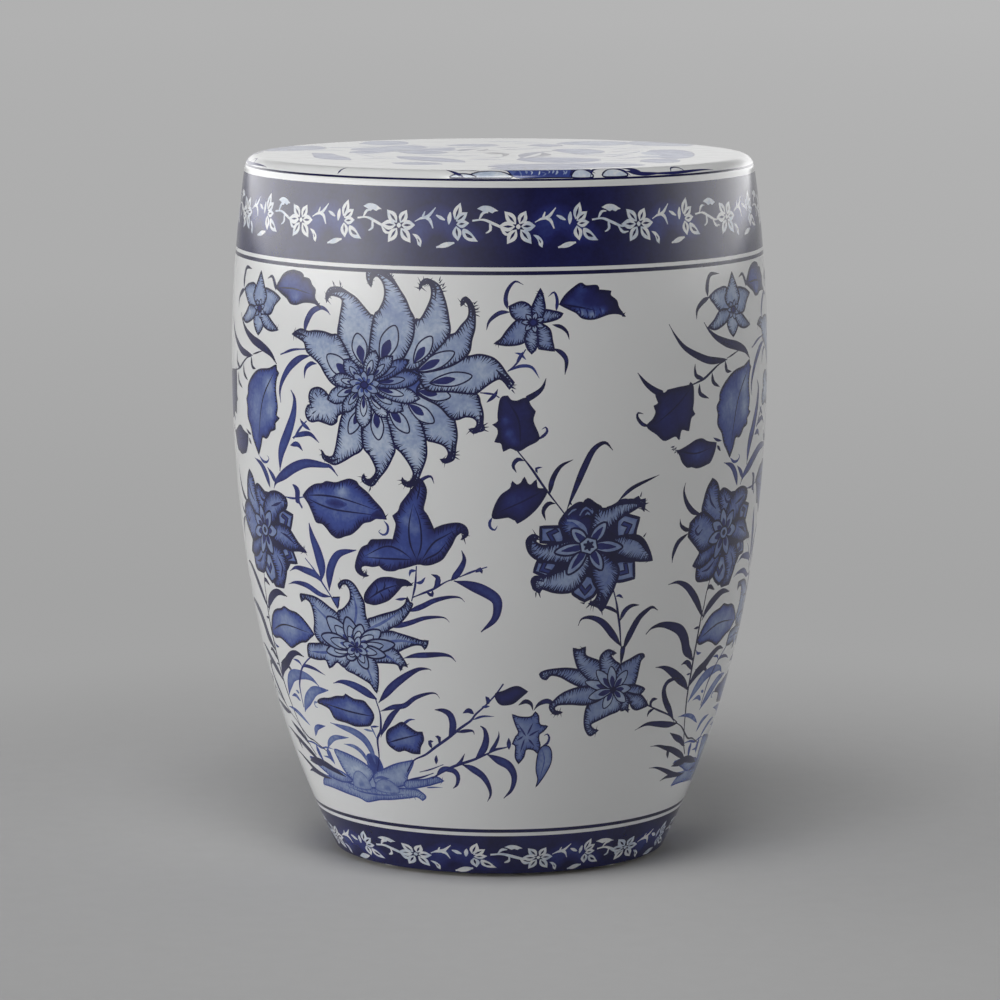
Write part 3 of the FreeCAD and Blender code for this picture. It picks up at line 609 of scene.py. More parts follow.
def leaves(p):
    """Every leaf of the sheet, from the top down."""
    leaf(p, [(37.8, 375, 1), (42.5, 381.3), (51.3, 387.5), (55, 385.8), (62.5, 385.8),
        (63.6, 383, 1), (71.9, 382, 1), (71.4, 379.4), (75.6, 376), (77, 371.6), (81.6, 365.8, 1),
        (77.5, 368), (70.5, 368.2), (60, 365.4), (52.5, 366.3), (48.6, 369.6), (43, 372.4)], 0.84,
        glow=[(52, 368.8, 3.4, 0.50), (59, 368, 3.4, 0.50), (66, 370, 2.6, 0.35),
        (46, 374, 6, 0.16), (52, 384, 4.5, 0.20)], veins=[[(39, 375), (50, 373), (62, 370.5)]])
    for x in (50, 54.5, 59, 63.5):
        p.blade([(x, 373), (x + 1.4, 369.6), (x + 1.6, 366.6)], 1.3, 0.2, DEEP)
    leaf(p, [(-167, 378.8, 1), (-163.8, 383), (-158.8, 388), (-150, 390.8), (-140.6, 389.6),
        (-139, 387, 1), (-133.5, 386.3), (-131, 382.8), (-127.8, 380), (-128, 375),
        (-122.3, 369.2, 1), (-128, 371.8), (-137, 372), (-145, 370), (-151, 370.4), (-154, 373),
        (-161.3, 376.2)], 0.66, glow=[(-146, 373.5, 5, 0.25), (-157, 383, 8, 0.08)],
        veins=[[(-165, 379), (-148, 379.5), (-130, 377)]])
    # upper middle, hanging between the star and the dark flower
    leaf(p, [(1, 317), (5, 318.4, 1), (7, 315.8), (11, 315.2), (16.5, 317), (19, 312.5),
        (22, 308.8, 1), (20.6, 303), (23.8, 295), (24, 291), (17.5, 287.5), (11.9, 284.4),
        (6.9, 286.3), (2.5, 284.2, 1), (1.3, 289.2), (-2.7, 290, 1), (-0.6, 295), (-1.2, 298.8),
        (-4, 300.6, 1), (-0.7, 302.5), (-0.7, 307.5)], 0.84, glow=[(3.6, 303, 2.6, 0.16),
        (5.5, 295, 3.2, 0.20), (9, 290, 2.6, 0.14)], veins=[[(5, 316), (12, 303), (13, 286)]])
    leaf(p, [(29.8, 259.4), (23.9, 260.4), (23, 265.8, 1), (20, 262.6), (17.5, 263.4),
        (15.6, 267.5, 1), (13.6, 263.8), (10.6, 262.6), (8, 265, 1), (7, 260.6), (1.3, 256.3),
        (-2.5, 250), (-4.4, 242.5), (0, 241.9), (5.6, 242.6), (9, 241, 1), (10, 240.8),
        (11.3, 238.6, 1), (17.5, 242.5), (23, 247.5), (27.5, 253.6)], 0.84,
        glow=[(8, 252, 6, 0.08)], veins=[[(28, 259), (14, 252), (-2, 245)]])
    leaf(p, [(103.8, 316.5), (110.6, 316.3), (113, 318, 1), (122, 319), (131.3, 319.8),
        (132, 321.5, 1), (134.6, 318.8), (135, 310), (134.4, 304), (136.5, 301.2, 1), (133, 299),
        (131.3, 291.2, 1), (125, 292.4), (123, 286.1, 1), (120, 288.8), (111.9, 286.7),
        (108.6, 288), (105, 291), (97.5, 296.3), (101.9, 300.6), (104, 305), (102.4, 308.8, 1),
        (105.8, 310.4)], 0.84, glow=[(112, 303, 6, 0.10)],
        veins=[[(133, 318), (118, 306), (103, 297)]])
    leaf(p, [(118, 282, 1), (120.5, 279), (125, 279.4), (132.5, 282), (137.5, 284), (143.8, 284.6),
        (150, 282.2), (159, 280.7, 1), (157.6, 275.5), (153.8, 269.6), (150, 268.2), (141.3, 266.7),
        (135, 268), (131.3, 268), (126.6, 271.8), (123.8, 277)], 0.80, glow=[(140, 276, 6, 0.10)],
        veins=[[(120, 280), (138, 276), (157, 279)]])
    leaf(p, [(202, 329.6), (199.3, 329), (192.7, 326.6), (181.5, 325.2), (174, 322.5),
        (166.5, 317.5), (162, 312.5), (161.3, 307.5), (158.6, 304), (160, 299), (160, 292.5),
        (165, 286.5), (167.7, 280), (172.7, 273.8), (175.9, 269.8, 1), (180, 276.3), (182.7, 282),
        (187.7, 281.8), (191, 283.8), (194, 287), (199.6, 289), (199.6, 292.6), (204.7, 296.2, 1),
        (201.5, 297.6), (202.7, 303.8), (201, 313.8), (202.2, 321.3), (204.7, 325, 1),
        (202.2, 327)], 0.57, rim=0.74, glow=[(176, 305, 7, 0.08), (195, 300, 6, 0.20),
        (194, 316, 8, 0.22)], veins=[[(201, 327), (184, 305), (176, 274)]])
    # the long leaf under the big flower
    leaf(p, [(-140.8, 248.8, 1), (-135, 253.8), (-128.8, 256.9), (-122.5, 258), (-118.8, 259.6),
        (-111.3, 259.4), (-105, 261.4), (-100, 262.6), (-95, 261.3), (-93.6, 259.2), (-87.5, 255),
        (-82.5, 250), (-77.4, 245), (-74.4, 239, 1), (-81, 239.4), (-86, 237), (-91.3, 235.6),
        (-96, 231.4), (-101, 227.8), (-106, 226.2), (-112.5, 224.2), (-117.5, 226.3), (-121.3, 230),
        (-125, 232.5), (-130, 233), (-132.6, 238), (-136.3, 244.4)], 0.60, rim=0.86,
        glow=[(-107, 254.6, 4.6, 0.30), (-104, 239, 8, 0.06), (-127, 252, 6, 0.06)], fringe=4.0,
        veins=[
        [(-139, 249.2), (-122, 250.6), (-108, 250), (-92, 247), (-79, 243.6)],
        [(-139, 248.4), (-128, 245), (-114, 242.4), (-96, 241.6), (-78, 241)]])
    p.fill([(-121, 246.6), (-112.5, 249.4), (-103, 246.4), (-112.5, 243)], 0.84, 0, rim=0.66,
        reach=1.6)
    p.fill([(-86, 240), (-80, 244.4), (-75, 239.6), (-80, 238.6)], LINE, 0, rim=0.80, reach=1.4)
    # the leaf with three lobes
    leaf(p, [(-53.8, 211.4), (-48.8, 211), (-43.8, 211.9), (-37.5, 215), (-33.8, 220), (-30.6, 225),
        (-28, 230), (-24.6, 232.5), (-22.6, 231), (-24.6, 227.8, 1), (-20.4, 231), (-21.2, 235.6),
        (-25, 238), (-30, 238), (-36.3, 236.6), (-42.4, 234, 1), (-46.3, 242.5), (-49, 246.5),
        (-47.3, 253.8), (-46.7, 259), (-48.8, 264), (-51, 266, 1), (-55, 260), (-60, 253.8),
        (-63.8, 249), (-65.6, 244.4), (-69.6, 241.3, 1), (-67.5, 236.3), (-68.8, 230.5),
        (-70.2, 226, 1), (-75, 225.8), (-81.3, 225.2), (-86.3, 224.6), (-88.8, 221.5), (-93.8, 219),
        (-97.7, 212.5), (-99.6, 206.3), (-98, 203), (-94, 201.2), (-89.8, 201.5, 1), (-94, 203.2),
        (-95.4, 206.3), (-92.5, 208.2), (-86.3, 208), (-81.3, 209, 1), (-77.5, 206.3),
        (-71.3, 206.2), (-67.5, 207.6, 1), (-62.5, 208.8)], 0.61, rim=0.88,
        glow=[(-54.6, 234, 3.6, 0.12), (-86, 215, 5, 0.14), (-38, 224, 5, 0.10),
        (-50, 257, 3, 0.10), (-62, 238, 4, 0.12)], fringe=4.2, seed=3, veins=[
        [(-54.4, 214), (-58.4, 224), (-58.8, 236), (-55.6, 250)],
        [(-54.4, 214), (-51, 224), (-51.4, 238), (-55.4, 250)],
        [(-58, 214.4), (-66, 219.6), (-76, 221.4), (-92, 214)],
        [(-58, 214), (-75, 213.6), (-92, 213.4)],
        [(-51, 214), (-43, 225), (-35, 230), (-28, 234)],
        [(-50.6, 213.6), (-40, 219), (-34, 226)],
        [(-53, 252), (-51, 260), (-51.4, 265)]])
    leaf(p, [(-94, 184.4), (-94, 188.8), (-89, 195), (-82.5, 200), (-75, 201.4), (-68.8, 200.8),
        (-62.5, 200.2), (-58.3, 197.4, 1), (-62.5, 197.2), (-65.6, 196.6), (-68.6, 193.6),
        (-72.5, 189.8), (-77.5, 186.2), (-86.3, 183.3), (-91, 183.6)], 0.68, rim=0.90,
        glow=[(-84, 192, 5, 0.14), (-75, 194, 4, 0.10)], fringe=3.2, veins=[
        [(-92, 186), (-80, 193), (-66, 198)], [(-86, 189), (-84, 193), (-85, 197)],
        [(-80, 192.6), (-78, 196), (-79, 200)], [(-82, 191.4), (-80, 187.6), (-81, 184.6)],
        [(-76, 194.4), (-74, 191)]])
    p.fill([(-70, 199.6), (-64, 200.4), (-58, 197.6, 1), (-64, 197.4), (-68, 196.4)], LINE, 0)
    leaf(p, [(-206.5, 151.5, 1), (-201.5, 160), (-195.3, 166), (-189, 168.8), (-181.5, 170.2),
        (-176.5, 172.2), (-169, 170.6), (-161.5, 170), (-155, 167.2), (-149, 162.5),
        (-144.6, 158, 1), (-150, 155), (-155, 152), (-161, 151), (-167.5, 148.6), (-176.4, 145.4),
        (-184, 148), (-191.5, 150), (-201.5, 149)], 0.50, rim=0.68,
        glow=[(-184, 162, 7, 0.14), (-170, 158, 6, 0.10)],
        veins=[[(-204, 153), (-180, 160), (-150, 158.5)]])
    leaf(p, [(-156.3, 111.4), (-153, 113.6), (-147.5, 115), (-140.6, 115.8), (-132.5, 118),
        (-125, 118.8), (-122.5, 120.6, 1), (-115, 118), (-106.3, 117.6), (-103, 115),
        (-99.9, 111.3), (-99.2, 107.5), (-103.8, 102), (-110, 100.6), (-118.8, 99.8),
        (-127.5, 101.2), (-139, 102.3), (-142, 106.3), (-144, 108.8), (-150, 110.4)], 0.56,
        rim=0.76, glow=[(-122, 108, 7, 0.08), (-110, 104, 4, 0.10)],
        veins=[[(-100, 108), (-120, 109), (-150, 112)]])
    leaf(p, [(-91, 92.5), (-89, 98.8), (-81.3, 103), (-75, 105.8), (-70, 103), (-64, 100),
        (-59.6, 100.2, 1), (-59.2, 95), (-62.5, 90), (-63.6, 85.4, 1), (-70, 85.4), (-76.3, 87),
        (-82.5, 85.8), (-89.4, 89.2)], 0.58, rim=0.80,
        glow=[(-76, 95, 6, 0.06), (-84, 92, 4, 0.08)], fringe=2.6,
        veins=[[(-90, 91), (-76, 95), (-60, 99)]])
    p.fill([(-2.9, 125), (-2.6, 128), (2.5, 129.4), (8.8, 132), (13.8, 132.4), (20.2, 129, 1),
        (15, 125), (10, 121.3), (3.8, 120.2), (0, 121)], 0.80, 0.8, rim=LINE, reach=2)


def ground(p):
    """The banks and leaves of the rock from which the plants grow."""
    p.fill([(-172, 58), (-146, 62), (-113, 66), (-84, 66), (-68, 57), (-110, 51), (-150, 52)], 0.36,
        0)
    p.fill([(-114, 80), (-108, 82), (-101, 79), (-99, 70), (-104, 62), (-112, 64), (-115, 72)],
        0.72, 0, rim=0.56, reach=2)
    for tone, points in (
            (0.34, [(-187.5, 51.6, 1), (-182, 56), (-172.5, 59), (-160, 60.4), (-147.5, 58.5),
             (-130, 57), (-110, 58), (-90, 59.6), (-73.8, 60), (-68.8, 59.2), (-63.6, 55.6),
             (-67.4, 52.8, 1), (-72, 55), (-80, 53.8), (-97.5, 51.3), (-110, 50), (-120, 48),
             (-127.5, 46.9), (-135, 48.8), (-150, 50), (-170, 51.6)]),
            (0.35, [(-197, 69, 1), (-185, 69.6), (-172, 68.4), (-158, 66.4), (-146, 64.4),
             (-138, 60), (-150, 58), (-165, 59), (-178, 63)]),
            (0.32, [(-150, 80), (-140, 79.6), (-128.8, 77.7), (-117.5, 74), (-111, 69),
             (-113.8, 64.6), (-122.5, 59.6), (-132.5, 59), (-140, 62.5), (-145.4, 67.5),
             (-148.5, 74)]),
            (0.33, [(-101, 71.3), (-87.5, 76.3), (-76.3, 79), (-69.6, 80.4, 1), (-72, 76),
             (-77.5, 69), (-80, 63.4), (-92.5, 60), (-108, 58), (-112, 64), (-108, 69)]),
            (0.36, [(-80, 65.4), (-62.5, 67.7), (-52.5, 70), (-46, 67.4, 1), (-52.5, 65.6),
             (-62.5, 63), (-80, 60.4)])):
        loop = p.fill(points, tone, 1.1, rim=0.46, reach=2.8, ink=0.66)
        p.hatch(loop, 3.2, 1.9, 0.6, 1.0, tone=0.60)
    # the hollows at the rocks' feet
    for x, wide, tall in ((-127, 10, 11), (-100, 12, 8)):
        p.fill([(x - wide, 57), (x - wide * 0.7, 57 + tall * 0.7), (x, 57 + tall),
            (x + wide * 0.7, 57 + tall * 0.7), (x + wide, 57), (x, 55.5)], 0.33, 0.8, rim=0.44,
            reach=3, ink=0.54)
        p.fill([(x - wide * 0.5, 57), (x, 57 + tall * 0.62), (x + wide * 0.5, 57), (x, 56)], 0.56,
            0, rim=0.36, reach=2.2)
    for k in range(14):  # a row of ticks along the foot
        x = -146 + k * 5.4
        p.blade([(x, 56.5), (x + 2.2, 52.5)], 1.0, 0.2, 0.56)
    # the strokes between them
    for points, width, peak in (
            ([(-196, 80.5), (-180, 81), (-168, 79), (-160, 80.4), (-150, 80)], 1.6, 0.5),
            ([(-176, 80), (-175, 75), (-171, 69)], 5, 0.3),
            ([(-160, 80), (-158.8, 75), (-155, 70)], 6, 0.3),
            ([(-169, 73.4), (-160, 73), (-155, 69)], 1.6, 0.5),
            ([(-112, 64), (-104, 66), (-95, 65.6)], 2.0, 0.5),
            ([(-150, 56), (-130, 53.4), (-105, 53.6), (-80, 56.4)], 1.3, 0.5),
            ([(-62, 61.9), (-55, 62.6), (-47.5, 62.8)], 1.0, 0.2),
            ([(-78, 66.6), (-65, 69), (-53.8, 72.6)], 1.4, 0.4)):
        p.blade(points, width, peak, 0.58)


# The sheet's brush strokes as (width, peak, points). A stem has no peak and is nearly even.
STROKES = (
    # round the first star
    (2.8, .15, [(5, 372.5), (3.8, 378.8), (5.6, 385), (10, 389.4), (15, 387.3)]),
    (2.8, .3, [(6.9, 370.6), (0, 370), (-6.3, 365), (-8.1, 359.4)]),
    (2.2, .2, [(35.6, 371), (36.3, 377.5), (34.4, 382.5), (30.6, 379.8)]),
    (2.5, .3, [(33, 362.5), (38.7, 361), (42.5, 357.5), (43.8, 353)]),
    (3.2, .35, [(33, 348), (38.7, 345), (41.9, 340), (40.9, 331.3)]),
    (2.2, .4, [(5, 333.8), (12.5, 337), (20, 336.3), (24.8, 329.4)]),
    (1.8, .5, [(9.4, 345.3), (13, 344.5), (16.5, 341)]),
    (1.8, .5, [(10.5, 340), (13, 343.5), (14.5, 346)]),
    (1.4, [(16.3, 347.5), (10.6, 338.8), (5, 333.8)]),
    # round the second star
    (3.5, .2, [(150, 374.4), (150, 381.3), (153.8, 388), (163.8, 388)]),
    (3.5, .3, [(152, 374), (145, 371.5), (139.5, 367), (138.5, 360.9)]),
    (3.0, .2, [(199.6, 377), (197.7, 381.3), (194, 385.6), (188.5, 383.8)]),
    # beside the leaf under the first star
    (4.0, .05, [(16, 316), (23, 320), (26.9, 323.8), (29, 329.4)]),
    (2.0, .3, [(23.8, 291), (28, 294), (29.8, 296.5), (28.8, 298.8), (26.3, 297.5)]),
    (1.4, [(-12, 320.6), (-6, 320), (-3, 319.4), (0, 317.5)]),
    (2.5, .5, [(-1, 323), (-3, 319), (-8, 314.5)]),
    (1.6, [(10.6, 285), (20, 273), (29, 260), (41.5, 244)]),
    (2.8, .35, [(15.6, 278), (11.3, 278.8), (8.5, 275), (10.6, 270.6)]),
    (1.8, .3, [(23.8, 270), (23, 273), (26.9, 273.8)]),
    (2.0, .3, [(-4.4, 242.5), (-6.3, 238.8), (-5.6, 235.6), (-3, 234.3), (-1.3, 237)]),
    (3.5, .25, [(31.5, 256), (33.5, 266), (38.5, 274), (46.5, 278)]),
    (3.0, .35, [(35.6, 250.6), (31, 250.6), (27.8, 246), (29.4, 240)]),
    (4.5, .5, [(42.5, 245), (47.5, 257.5), (53.8, 272.5), (60, 283.8), (67.5, 287.8), (73, 282.8)]),
    # round the dark flower
    (1.8, [(77.5, 193.8), (80.6, 185), (82.5, 177.5), (85, 167.5), (86.9, 157.5), (89, 152)]),
    (2.0, .4, [(80, 188.8), (82.5, 189.4), (85.6, 187.3)]),
    (2.5, .4, [(70, 183), (76, 181.5), (81, 178.8), (83, 176)]),
    (3.5, .3, [(84.4, 172.5), (87.5, 178.8), (92.5, 181.9), (98.8, 181.9)]),
    (5.0, .7, [(53.8, 171.3), (56, 175.6), (62.5, 176.3), (71.3, 172.5), (80, 163.8), (87, 156)]),
    (5.0, .3, [(89, 152), (92.5, 161.3), (98.8, 172.5), (105, 177.5), (110, 179.5), (115, 177)]),
    (2.6, .3, [(77.5, 250), (85, 256.3), (92.5, 260), (108, 265)]),
    # between the leaves on the right
    (4.5, .05, [(110, 315.5), (103, 318.5), (96, 323.5), (90, 330.5)]),
    (2.5, .3, [(99.4, 296.3), (93.8, 298), (90, 302.5), (90.6, 305.3), (94.4, 304.4)]),
    (5.0, .7, [(114.4, 359.4), (120, 351.3), (127.5, 343.8), (140, 337.5), (152.5, 333.8),
     (170, 333)]),
    (1.8, [(132, 319.5), (145, 323), (152.5, 326.9), (160, 330.6), (167.5, 332.5)]),
    (3.0, .35, [(145, 323), (138, 325), (136.3, 328.8), (136.5, 333)]),
    (3.0, .35, [(140.6, 320), (141.3, 313.8), (150, 310)]),
    (3.0, .35, [(153, 326), (154.4, 320), (161.3, 316.3)]),
    (3.0, .35, [(167.5, 332.5), (169.4, 326), (175, 325)]),
    (1.2, [(170, 333.8), (185, 337.5)]),
    (6.0, .6, [(145.5, 358.5), (150, 353.5), (158, 348), (170, 343.5), (183, 340.5), (195, 336.5),
     (202.5, 330.5)]),
    (1.8, [(-160, 337), (-147.5, 341), (-135, 342.5)]),
    (2.0, .3, [(-190, 269.4), (-185, 266.3), (-179.4, 266.3), (-176.5, 268.8), (-178.8, 270.6)]),
    (2.0, .5, [(155.6, 284.4), (160, 282.5), (165, 281.5)]),
    (2.5, .4, [(160, 279), (164.4, 275)]),
    # down the left edge
    (5.0, .7, [(-197.5, 267), (-187.5, 263.8), (-181, 257.5), (-177.5, 250)]),
    (4.0, .7, [(-179.4, 263), (-173.8, 258.8), (-168.8, 253.8)]),
    (7.0, .3, [(-172.5, 250), (-168.8, 255), (-160, 260), (-147.5, 266.3), (-135, 270), (-120, 270),
     (-115, 269.4), (-109.4, 264)]),
    (8.0, .35, [(-163.8, 262), (-161, 275), (-153, 288), (-147, 300), (-145.5, 310),
     (-149, 315.5)]),
    (3.5, .4, [(-148.8, 285), (-140, 288), (-131.3, 288.8), (-123.8, 284)]),
    (3.5, .4, [(-151, 280), (-143.8, 281.3), (-138.8, 277.5)]),
    (1.8, [(-147.5, 284.4), (-140, 292.5), (-134.4, 297)]),
    (3.0, .5, [(-140.6, 298), (-138, 295), (-131.3, 291.3)]),
    (5.0, .35, [(-130, 338.8), (-140, 336.3), (-150, 330), (-157.5, 321.3), (-160.6, 313.8),
     (-159.8, 306.3)]),
    (3.0, .35, [(-125, 333.8), (-130, 333.8), (-135, 330), (-136, 323.8)]),
    (4.5, .3, [(-136.3, 351.3), (-135, 358.8), (-130, 366.3), (-122.5, 369.4), (-117.5, 368),
     (-114.4, 365.3)]),
    (4.0, .7, [(130.6, 258), (129.4, 252.5), (132.5, 245), (138.8, 238.8), (146.3, 236.3)]),
    (3.0, .6, [(127.5, 235), (128.8, 230.6), (133.8, 227.5), (139, 227)]),
    (3.5, .5, [(123.5, 206.9), (123.8, 212.5), (127.5, 220), (136.3, 225)]),
    (1.5, [(-160, 246), (-150, 246), (-140, 248)]),
    (1.8, .3, [(-76.3, 238), (-73.5, 234.4), (-74.4, 230), (-77.5, 228.8), (-80.3, 230.6),
     (-78.8, 232)]),
    (8.0, .35, [(-130.5, 194), (-128.8, 203), (-131, 213), (-135, 223), (-137, 231.5)]),
    (5.0, .7, [(-162.5, 197.5), (-155, 200.6), (-145, 200), (-135, 198), (-129, 193.5)]),
    (4.0, .6, [(-166.3, 188.5), (-157.5, 190.6), (-145, 190), (-132.5, 185.6), (-122.5, 185)]),
    (6.5, .3, [(-123.8, 188.8), (-122, 200), (-117.5, 208.8), (-111, 214.5), (-98, 217.5)]),
    (1.5, [(-144, 208), (-138.8, 203.8), (-135, 200), (-128.8, 192.5), (-122.5, 185),
     (-117.5, 178)]),
    (5.0, .5, [(-120.5, 185.5), (-118.4, 182), (-117.6, 178)]),
    # to the right of the pale flower
    (3.6, .2, [(-62.5, 180), (-52.5, 183.8), (-43.8, 188), (-33.8, 190.6), (-26.3, 190.6),
     (-23, 187.8)]),
    (3.4, .2, [(-76, 168.8), (-62.5, 172.5), (-51.3, 176.3), (-41.3, 177.5), (-36.3, 176.9),
     (-33.8, 174.4)]),
    (3.8, .4, [(-68.8, 149), (-60, 151.3), (-50, 152.3), (-40, 153), (-33.8, 151.9),
     (-30.3, 148.5)]),
    (1.6, [(-59.4, 186.9), (-56.3, 197.5), (-54.8, 210)]),
    (2.2, .4, [(-55, 207), (-59, 206.4), (-60, 203)]),
    (2.2, .4, [(-56, 199), (-52, 199.6), (-49, 203)]),
    (1.6, [(-58.8, 189.4), (-50, 193), (-43.8, 195.6), (-35, 200.6), (-30, 202.5)]),
    (4.0, .6, [(-45, 205), (-40.6, 203), (-41.5, 198), (-44, 196)]),
    (2.5, .5, [(-49, 193.5), (-45, 191.5), (-44.5, 195)]),
    (4.5, .25, [(-32, 201.3), (-26.3, 207.5), (-22.8, 215), (-24.4, 221)]),
    (1.4, [(-26.3, 203.8), (-17.5, 207.5), (-8, 210.6)]),
    (3.0, .5, [(-15.6, 207), (-12.5, 209), (-11.3, 206.3)]),
    (7.5, .35, [(-30, 201.3), (-20, 198.8), (-10, 195), (-2.5, 190), (-1.3, 183.8), (-3.8, 176.3),
     (-12.5, 168.5)]),
    (2.5, .3, [(-55, 259), (-49, 265.5), (-43.5, 267.5), (-41.5, 263)]),
    (2.0, .5, [(-71, 187.5), (-66, 188), (-62.5, 189)]),
    (2.0, .5, [(-205.2, 145.6), (-202.7, 143), (-197.7, 142.8)]),
    # the grasses on the right
    (2.0, [(165, 192), (162.5, 182.5), (161.9, 175), (160.6, 168.8), (160, 158.8), (160, 150),
     (160, 138.8), (160.6, 130), (161.9, 116.3), (165, 105), (170, 92.5), (177.5, 80),
     (185, 72.5)]),
    (5.5, .6, [(121.9, 193), (130, 193.8), (138.8, 190.6), (146.3, 185), (153.8, 177.5), (160, 170),
     (163.8, 167)]),
    (6.0, .35, [(161.9, 165), (166.3, 171.9), (175, 178), (185, 181.3), (196.3, 179.8)]),
    (3.0, .4, [(162.5, 184), (165.5, 187), (172.5, 184)]),
    (2.0, .6, [(153.8, 160.6), (160, 161)]),
    (8.0, .75, [(106.9, 161.9), (111.3, 165.6), (120, 167), (130, 165), (138.8, 161.3), (145, 155),
     (148.8, 148), (153.8, 143.8), (159.4, 139)]),
    (6.5, .65, [(120, 138.8), (127.5, 138), (136.3, 134.4), (146.3, 128.8), (155, 123.8),
     (161.3, 118.8)]),
    (4.0, .6, [(146.3, 137.5), (151.3, 138.8), (156.3, 136.3), (160, 132.5)]),
    (1.5, .5, [(155, 130), (160, 130)]),
    (5.0, .35, [(152.5, 98.8), (145, 106.3), (136.3, 115), (132.5, 122.5), (135, 127.5),
     (142.5, 128.8), (148.8, 128)]),
    (7.0, .3, [(160, 120), (167.5, 128.8), (177.5, 133.8), (187.5, 140), (196.3, 142.5),
     (205, 141)]),
    (3.0, .4, [(165, 131.9), (173.8, 132.5), (180, 130.6), (187.5, 125)]),
    # the grasses on the left
    (8.0, .3, [(-201.3, 110), (-193.8, 118.8), (-183.8, 125.6), (-168.8, 128), (-157.5, 126.9),
     (-150, 122.8)]),
    (8.0, .35, [(-178.8, 101.9), (-173.8, 107.5), (-163.8, 115), (-155, 119.4), (-140, 121.3)]),
    (2.0, [(-178.8, 105), (-177, 118.8), (-172.5, 126.3), (-167.5, 132.5), (-160, 138),
     (-153, 142)]),
    (2.5, .3, [(-167.5, 132.5), (-162.5, 135), (-151.3, 134.4), (-140, 131.3)]),
    (2.0, .4, [(-166.3, 133.8), (-170, 136.9), (-177.5, 137.5)]),
    (3.0, .7, [(-195, 110.6), (-187.5, 111.9), (-181.3, 108.8)]),
    (2.5, .6, [(-185, 115.6), (-180, 114.4)]),
    (3.2, .6, [(-210, 101.3), (-200, 101.3), (-188.8, 98.8), (-176.3, 93)]),
    (4.0, .25, [(-172.5, 86.3), (-168.8, 91.3), (-163.8, 93.8), (-153.8, 95.6)]),
    (4.0, .3, [(-158.8, 78.8), (-155, 83.8), (-145, 88.8), (-128.8, 90.6)]),
    (3.5, .7, [(-136.3, 85.6), (-125, 85), (-117.5, 81.3), (-112.5, 73.8)]),
    (6.0, .7, [(-146.3, 98.8), (-135, 97.5), (-122.5, 95.6), (-112.5, 91.3), (-107.5, 83.8),
     (-106.3, 75)]),
    (6.0, .75, [(-133, 126.9), (-125, 128.8), (-115, 128), (-105, 125), (-93.8, 120)]),
    (2.0, [(-95, 120), (-93, 110), (-95, 98.8), (-99.4, 92.5), (-101.3, 80), (-106, 70)]),
    (1.6, .3, [(-156.3, 111.3), (-160.6, 110.6), (-160.6, 108), (-157.5, 107.5)]),
    (1.5, [(-103.8, 101.9), (-100, 93)]),
    (1.6, .4, [(-103.8, 100.6), (-96, 101.5)]),
    (1.6, .4, [(-111, 98.3), (-101.5, 97.5)]),
    # over the middle stem
    (5.5, .3, [(-93, 117.5), (-87.5, 122.5), (-78.8, 130), (-67.5, 137.5), (-57.5, 142.5),
     (-50, 143), (-48.5, 142)]),
    (3.6, .3, [(-92.5, 112), (-81.3, 115.6), (-71.3, 117.5), (-62.5, 123), (-52.5, 126.5),
     (-46.3, 126.9), (-43.5, 123.8)]),
    (4.5, .5, [(-96, 94), (-93.8, 97.5), (-87.5, 105), (-81.3, 111.3), (-73.8, 116.3)]),
    (2.0, .4, [(-78, 103), (-73.8, 105), (-68.8, 108), (-64, 108.5)]),
    (2.0, [(-77, 72), (-72, 78), (-68, 81.3), (-58.8, 85), (-50, 90.6), (-38.8, 97.5), (-30, 103.8),
     (-21.3, 109.4), (-17.5, 113.8), (-10, 120), (-2.5, 127.5), (2.8, 134.4)]),
    (3.0, .4, [(-53, 89.4), (-54.4, 93.8), (-51.3, 94.4)]),
    (3.0, .5, [(-46.9, 93), (-46.3, 96.9), (-49.4, 98)]),
    (5.5, .3, [(-38.8, 97.5), (-35, 105), (-36.3, 112.5), (-41.3, 115.6), (-48, 116)]),
    (2.5, .4, [(-32.5, 101.3), (-25, 102.5), (-20, 102.5), (-19, 100)]),
    (1.6, .3, [(-20, 110), (-12.5, 112.5), (-3.8, 112.5)]),
    (3.5, .6, [(-27, 114.4), (-22.5, 116.3), (-18.8, 114)]),
    (2.0, .4, [(-13, 118.8), (-7, 119.4)]),
    (3.5, .5, [(-10, 126), (-8, 123), (-9.5, 120.6)]),
    (3.0, .4, [(13.8, 120), (18.8, 122.5), (23, 120.6), (24.4, 116.3)]),
    (3.5, .5, [(25, 116.3), (28.8, 120.6), (35, 122.3), (39.4, 119.4), (40, 115)]),
    (1.4, [(-8.8, 86.9), (-4.4, 90), (5, 91.5), (8.8, 93.8)]),
    (3.5, .5, [(7, 98), (7.3, 90)]),
    (2.0, .3, [(33, 91.9), (36.9, 93.8), (38, 97.5), (36.3, 100), (33.8, 99)]),
    # the stem that grows out of the rock
    (2.0, [(-55.6, 68.8), (-46.3, 73.8), (-37.5, 77.5), (-30, 80), (-20, 83), (-10, 86.9),
     (-3.8, 89.4), (3.8, 91.3)]),
    (4.0, .5, [(-52.5, 70), (-46.3, 75), (-37.5, 77)]),
    (4.0, .4, [(-45, 74.4), (-37.5, 75), (-33.8, 71.3), (-35, 65.6), (-38.8, 62.5)]),
    (2.5, .4, [(-37.5, 76.9), (-31.3, 80.6), (-27, 87)]),
    (5.0, .3, [(-30, 79.4), (-22.5, 76.9), (-13.8, 71.9), (-8.8, 65), (-7.5, 58.8), (-10.3, 54)]),
    (5.5, .35, [(-18.8, 83.8), (-12.5, 90), (-10, 97.5), (-11.3, 103.8), (-14.4, 106)]),
    (3.0, .3, [(-8.8, 86.9), (-3.8, 92.5), (-0.6, 98.8), (-0.6, 102.5)]),
    (6.0, .3, [(-10, 86.9), (-1.3, 83), (7.5, 78.8), (11.9, 71.3), (10, 62.5), (3.5, 56.3)]),
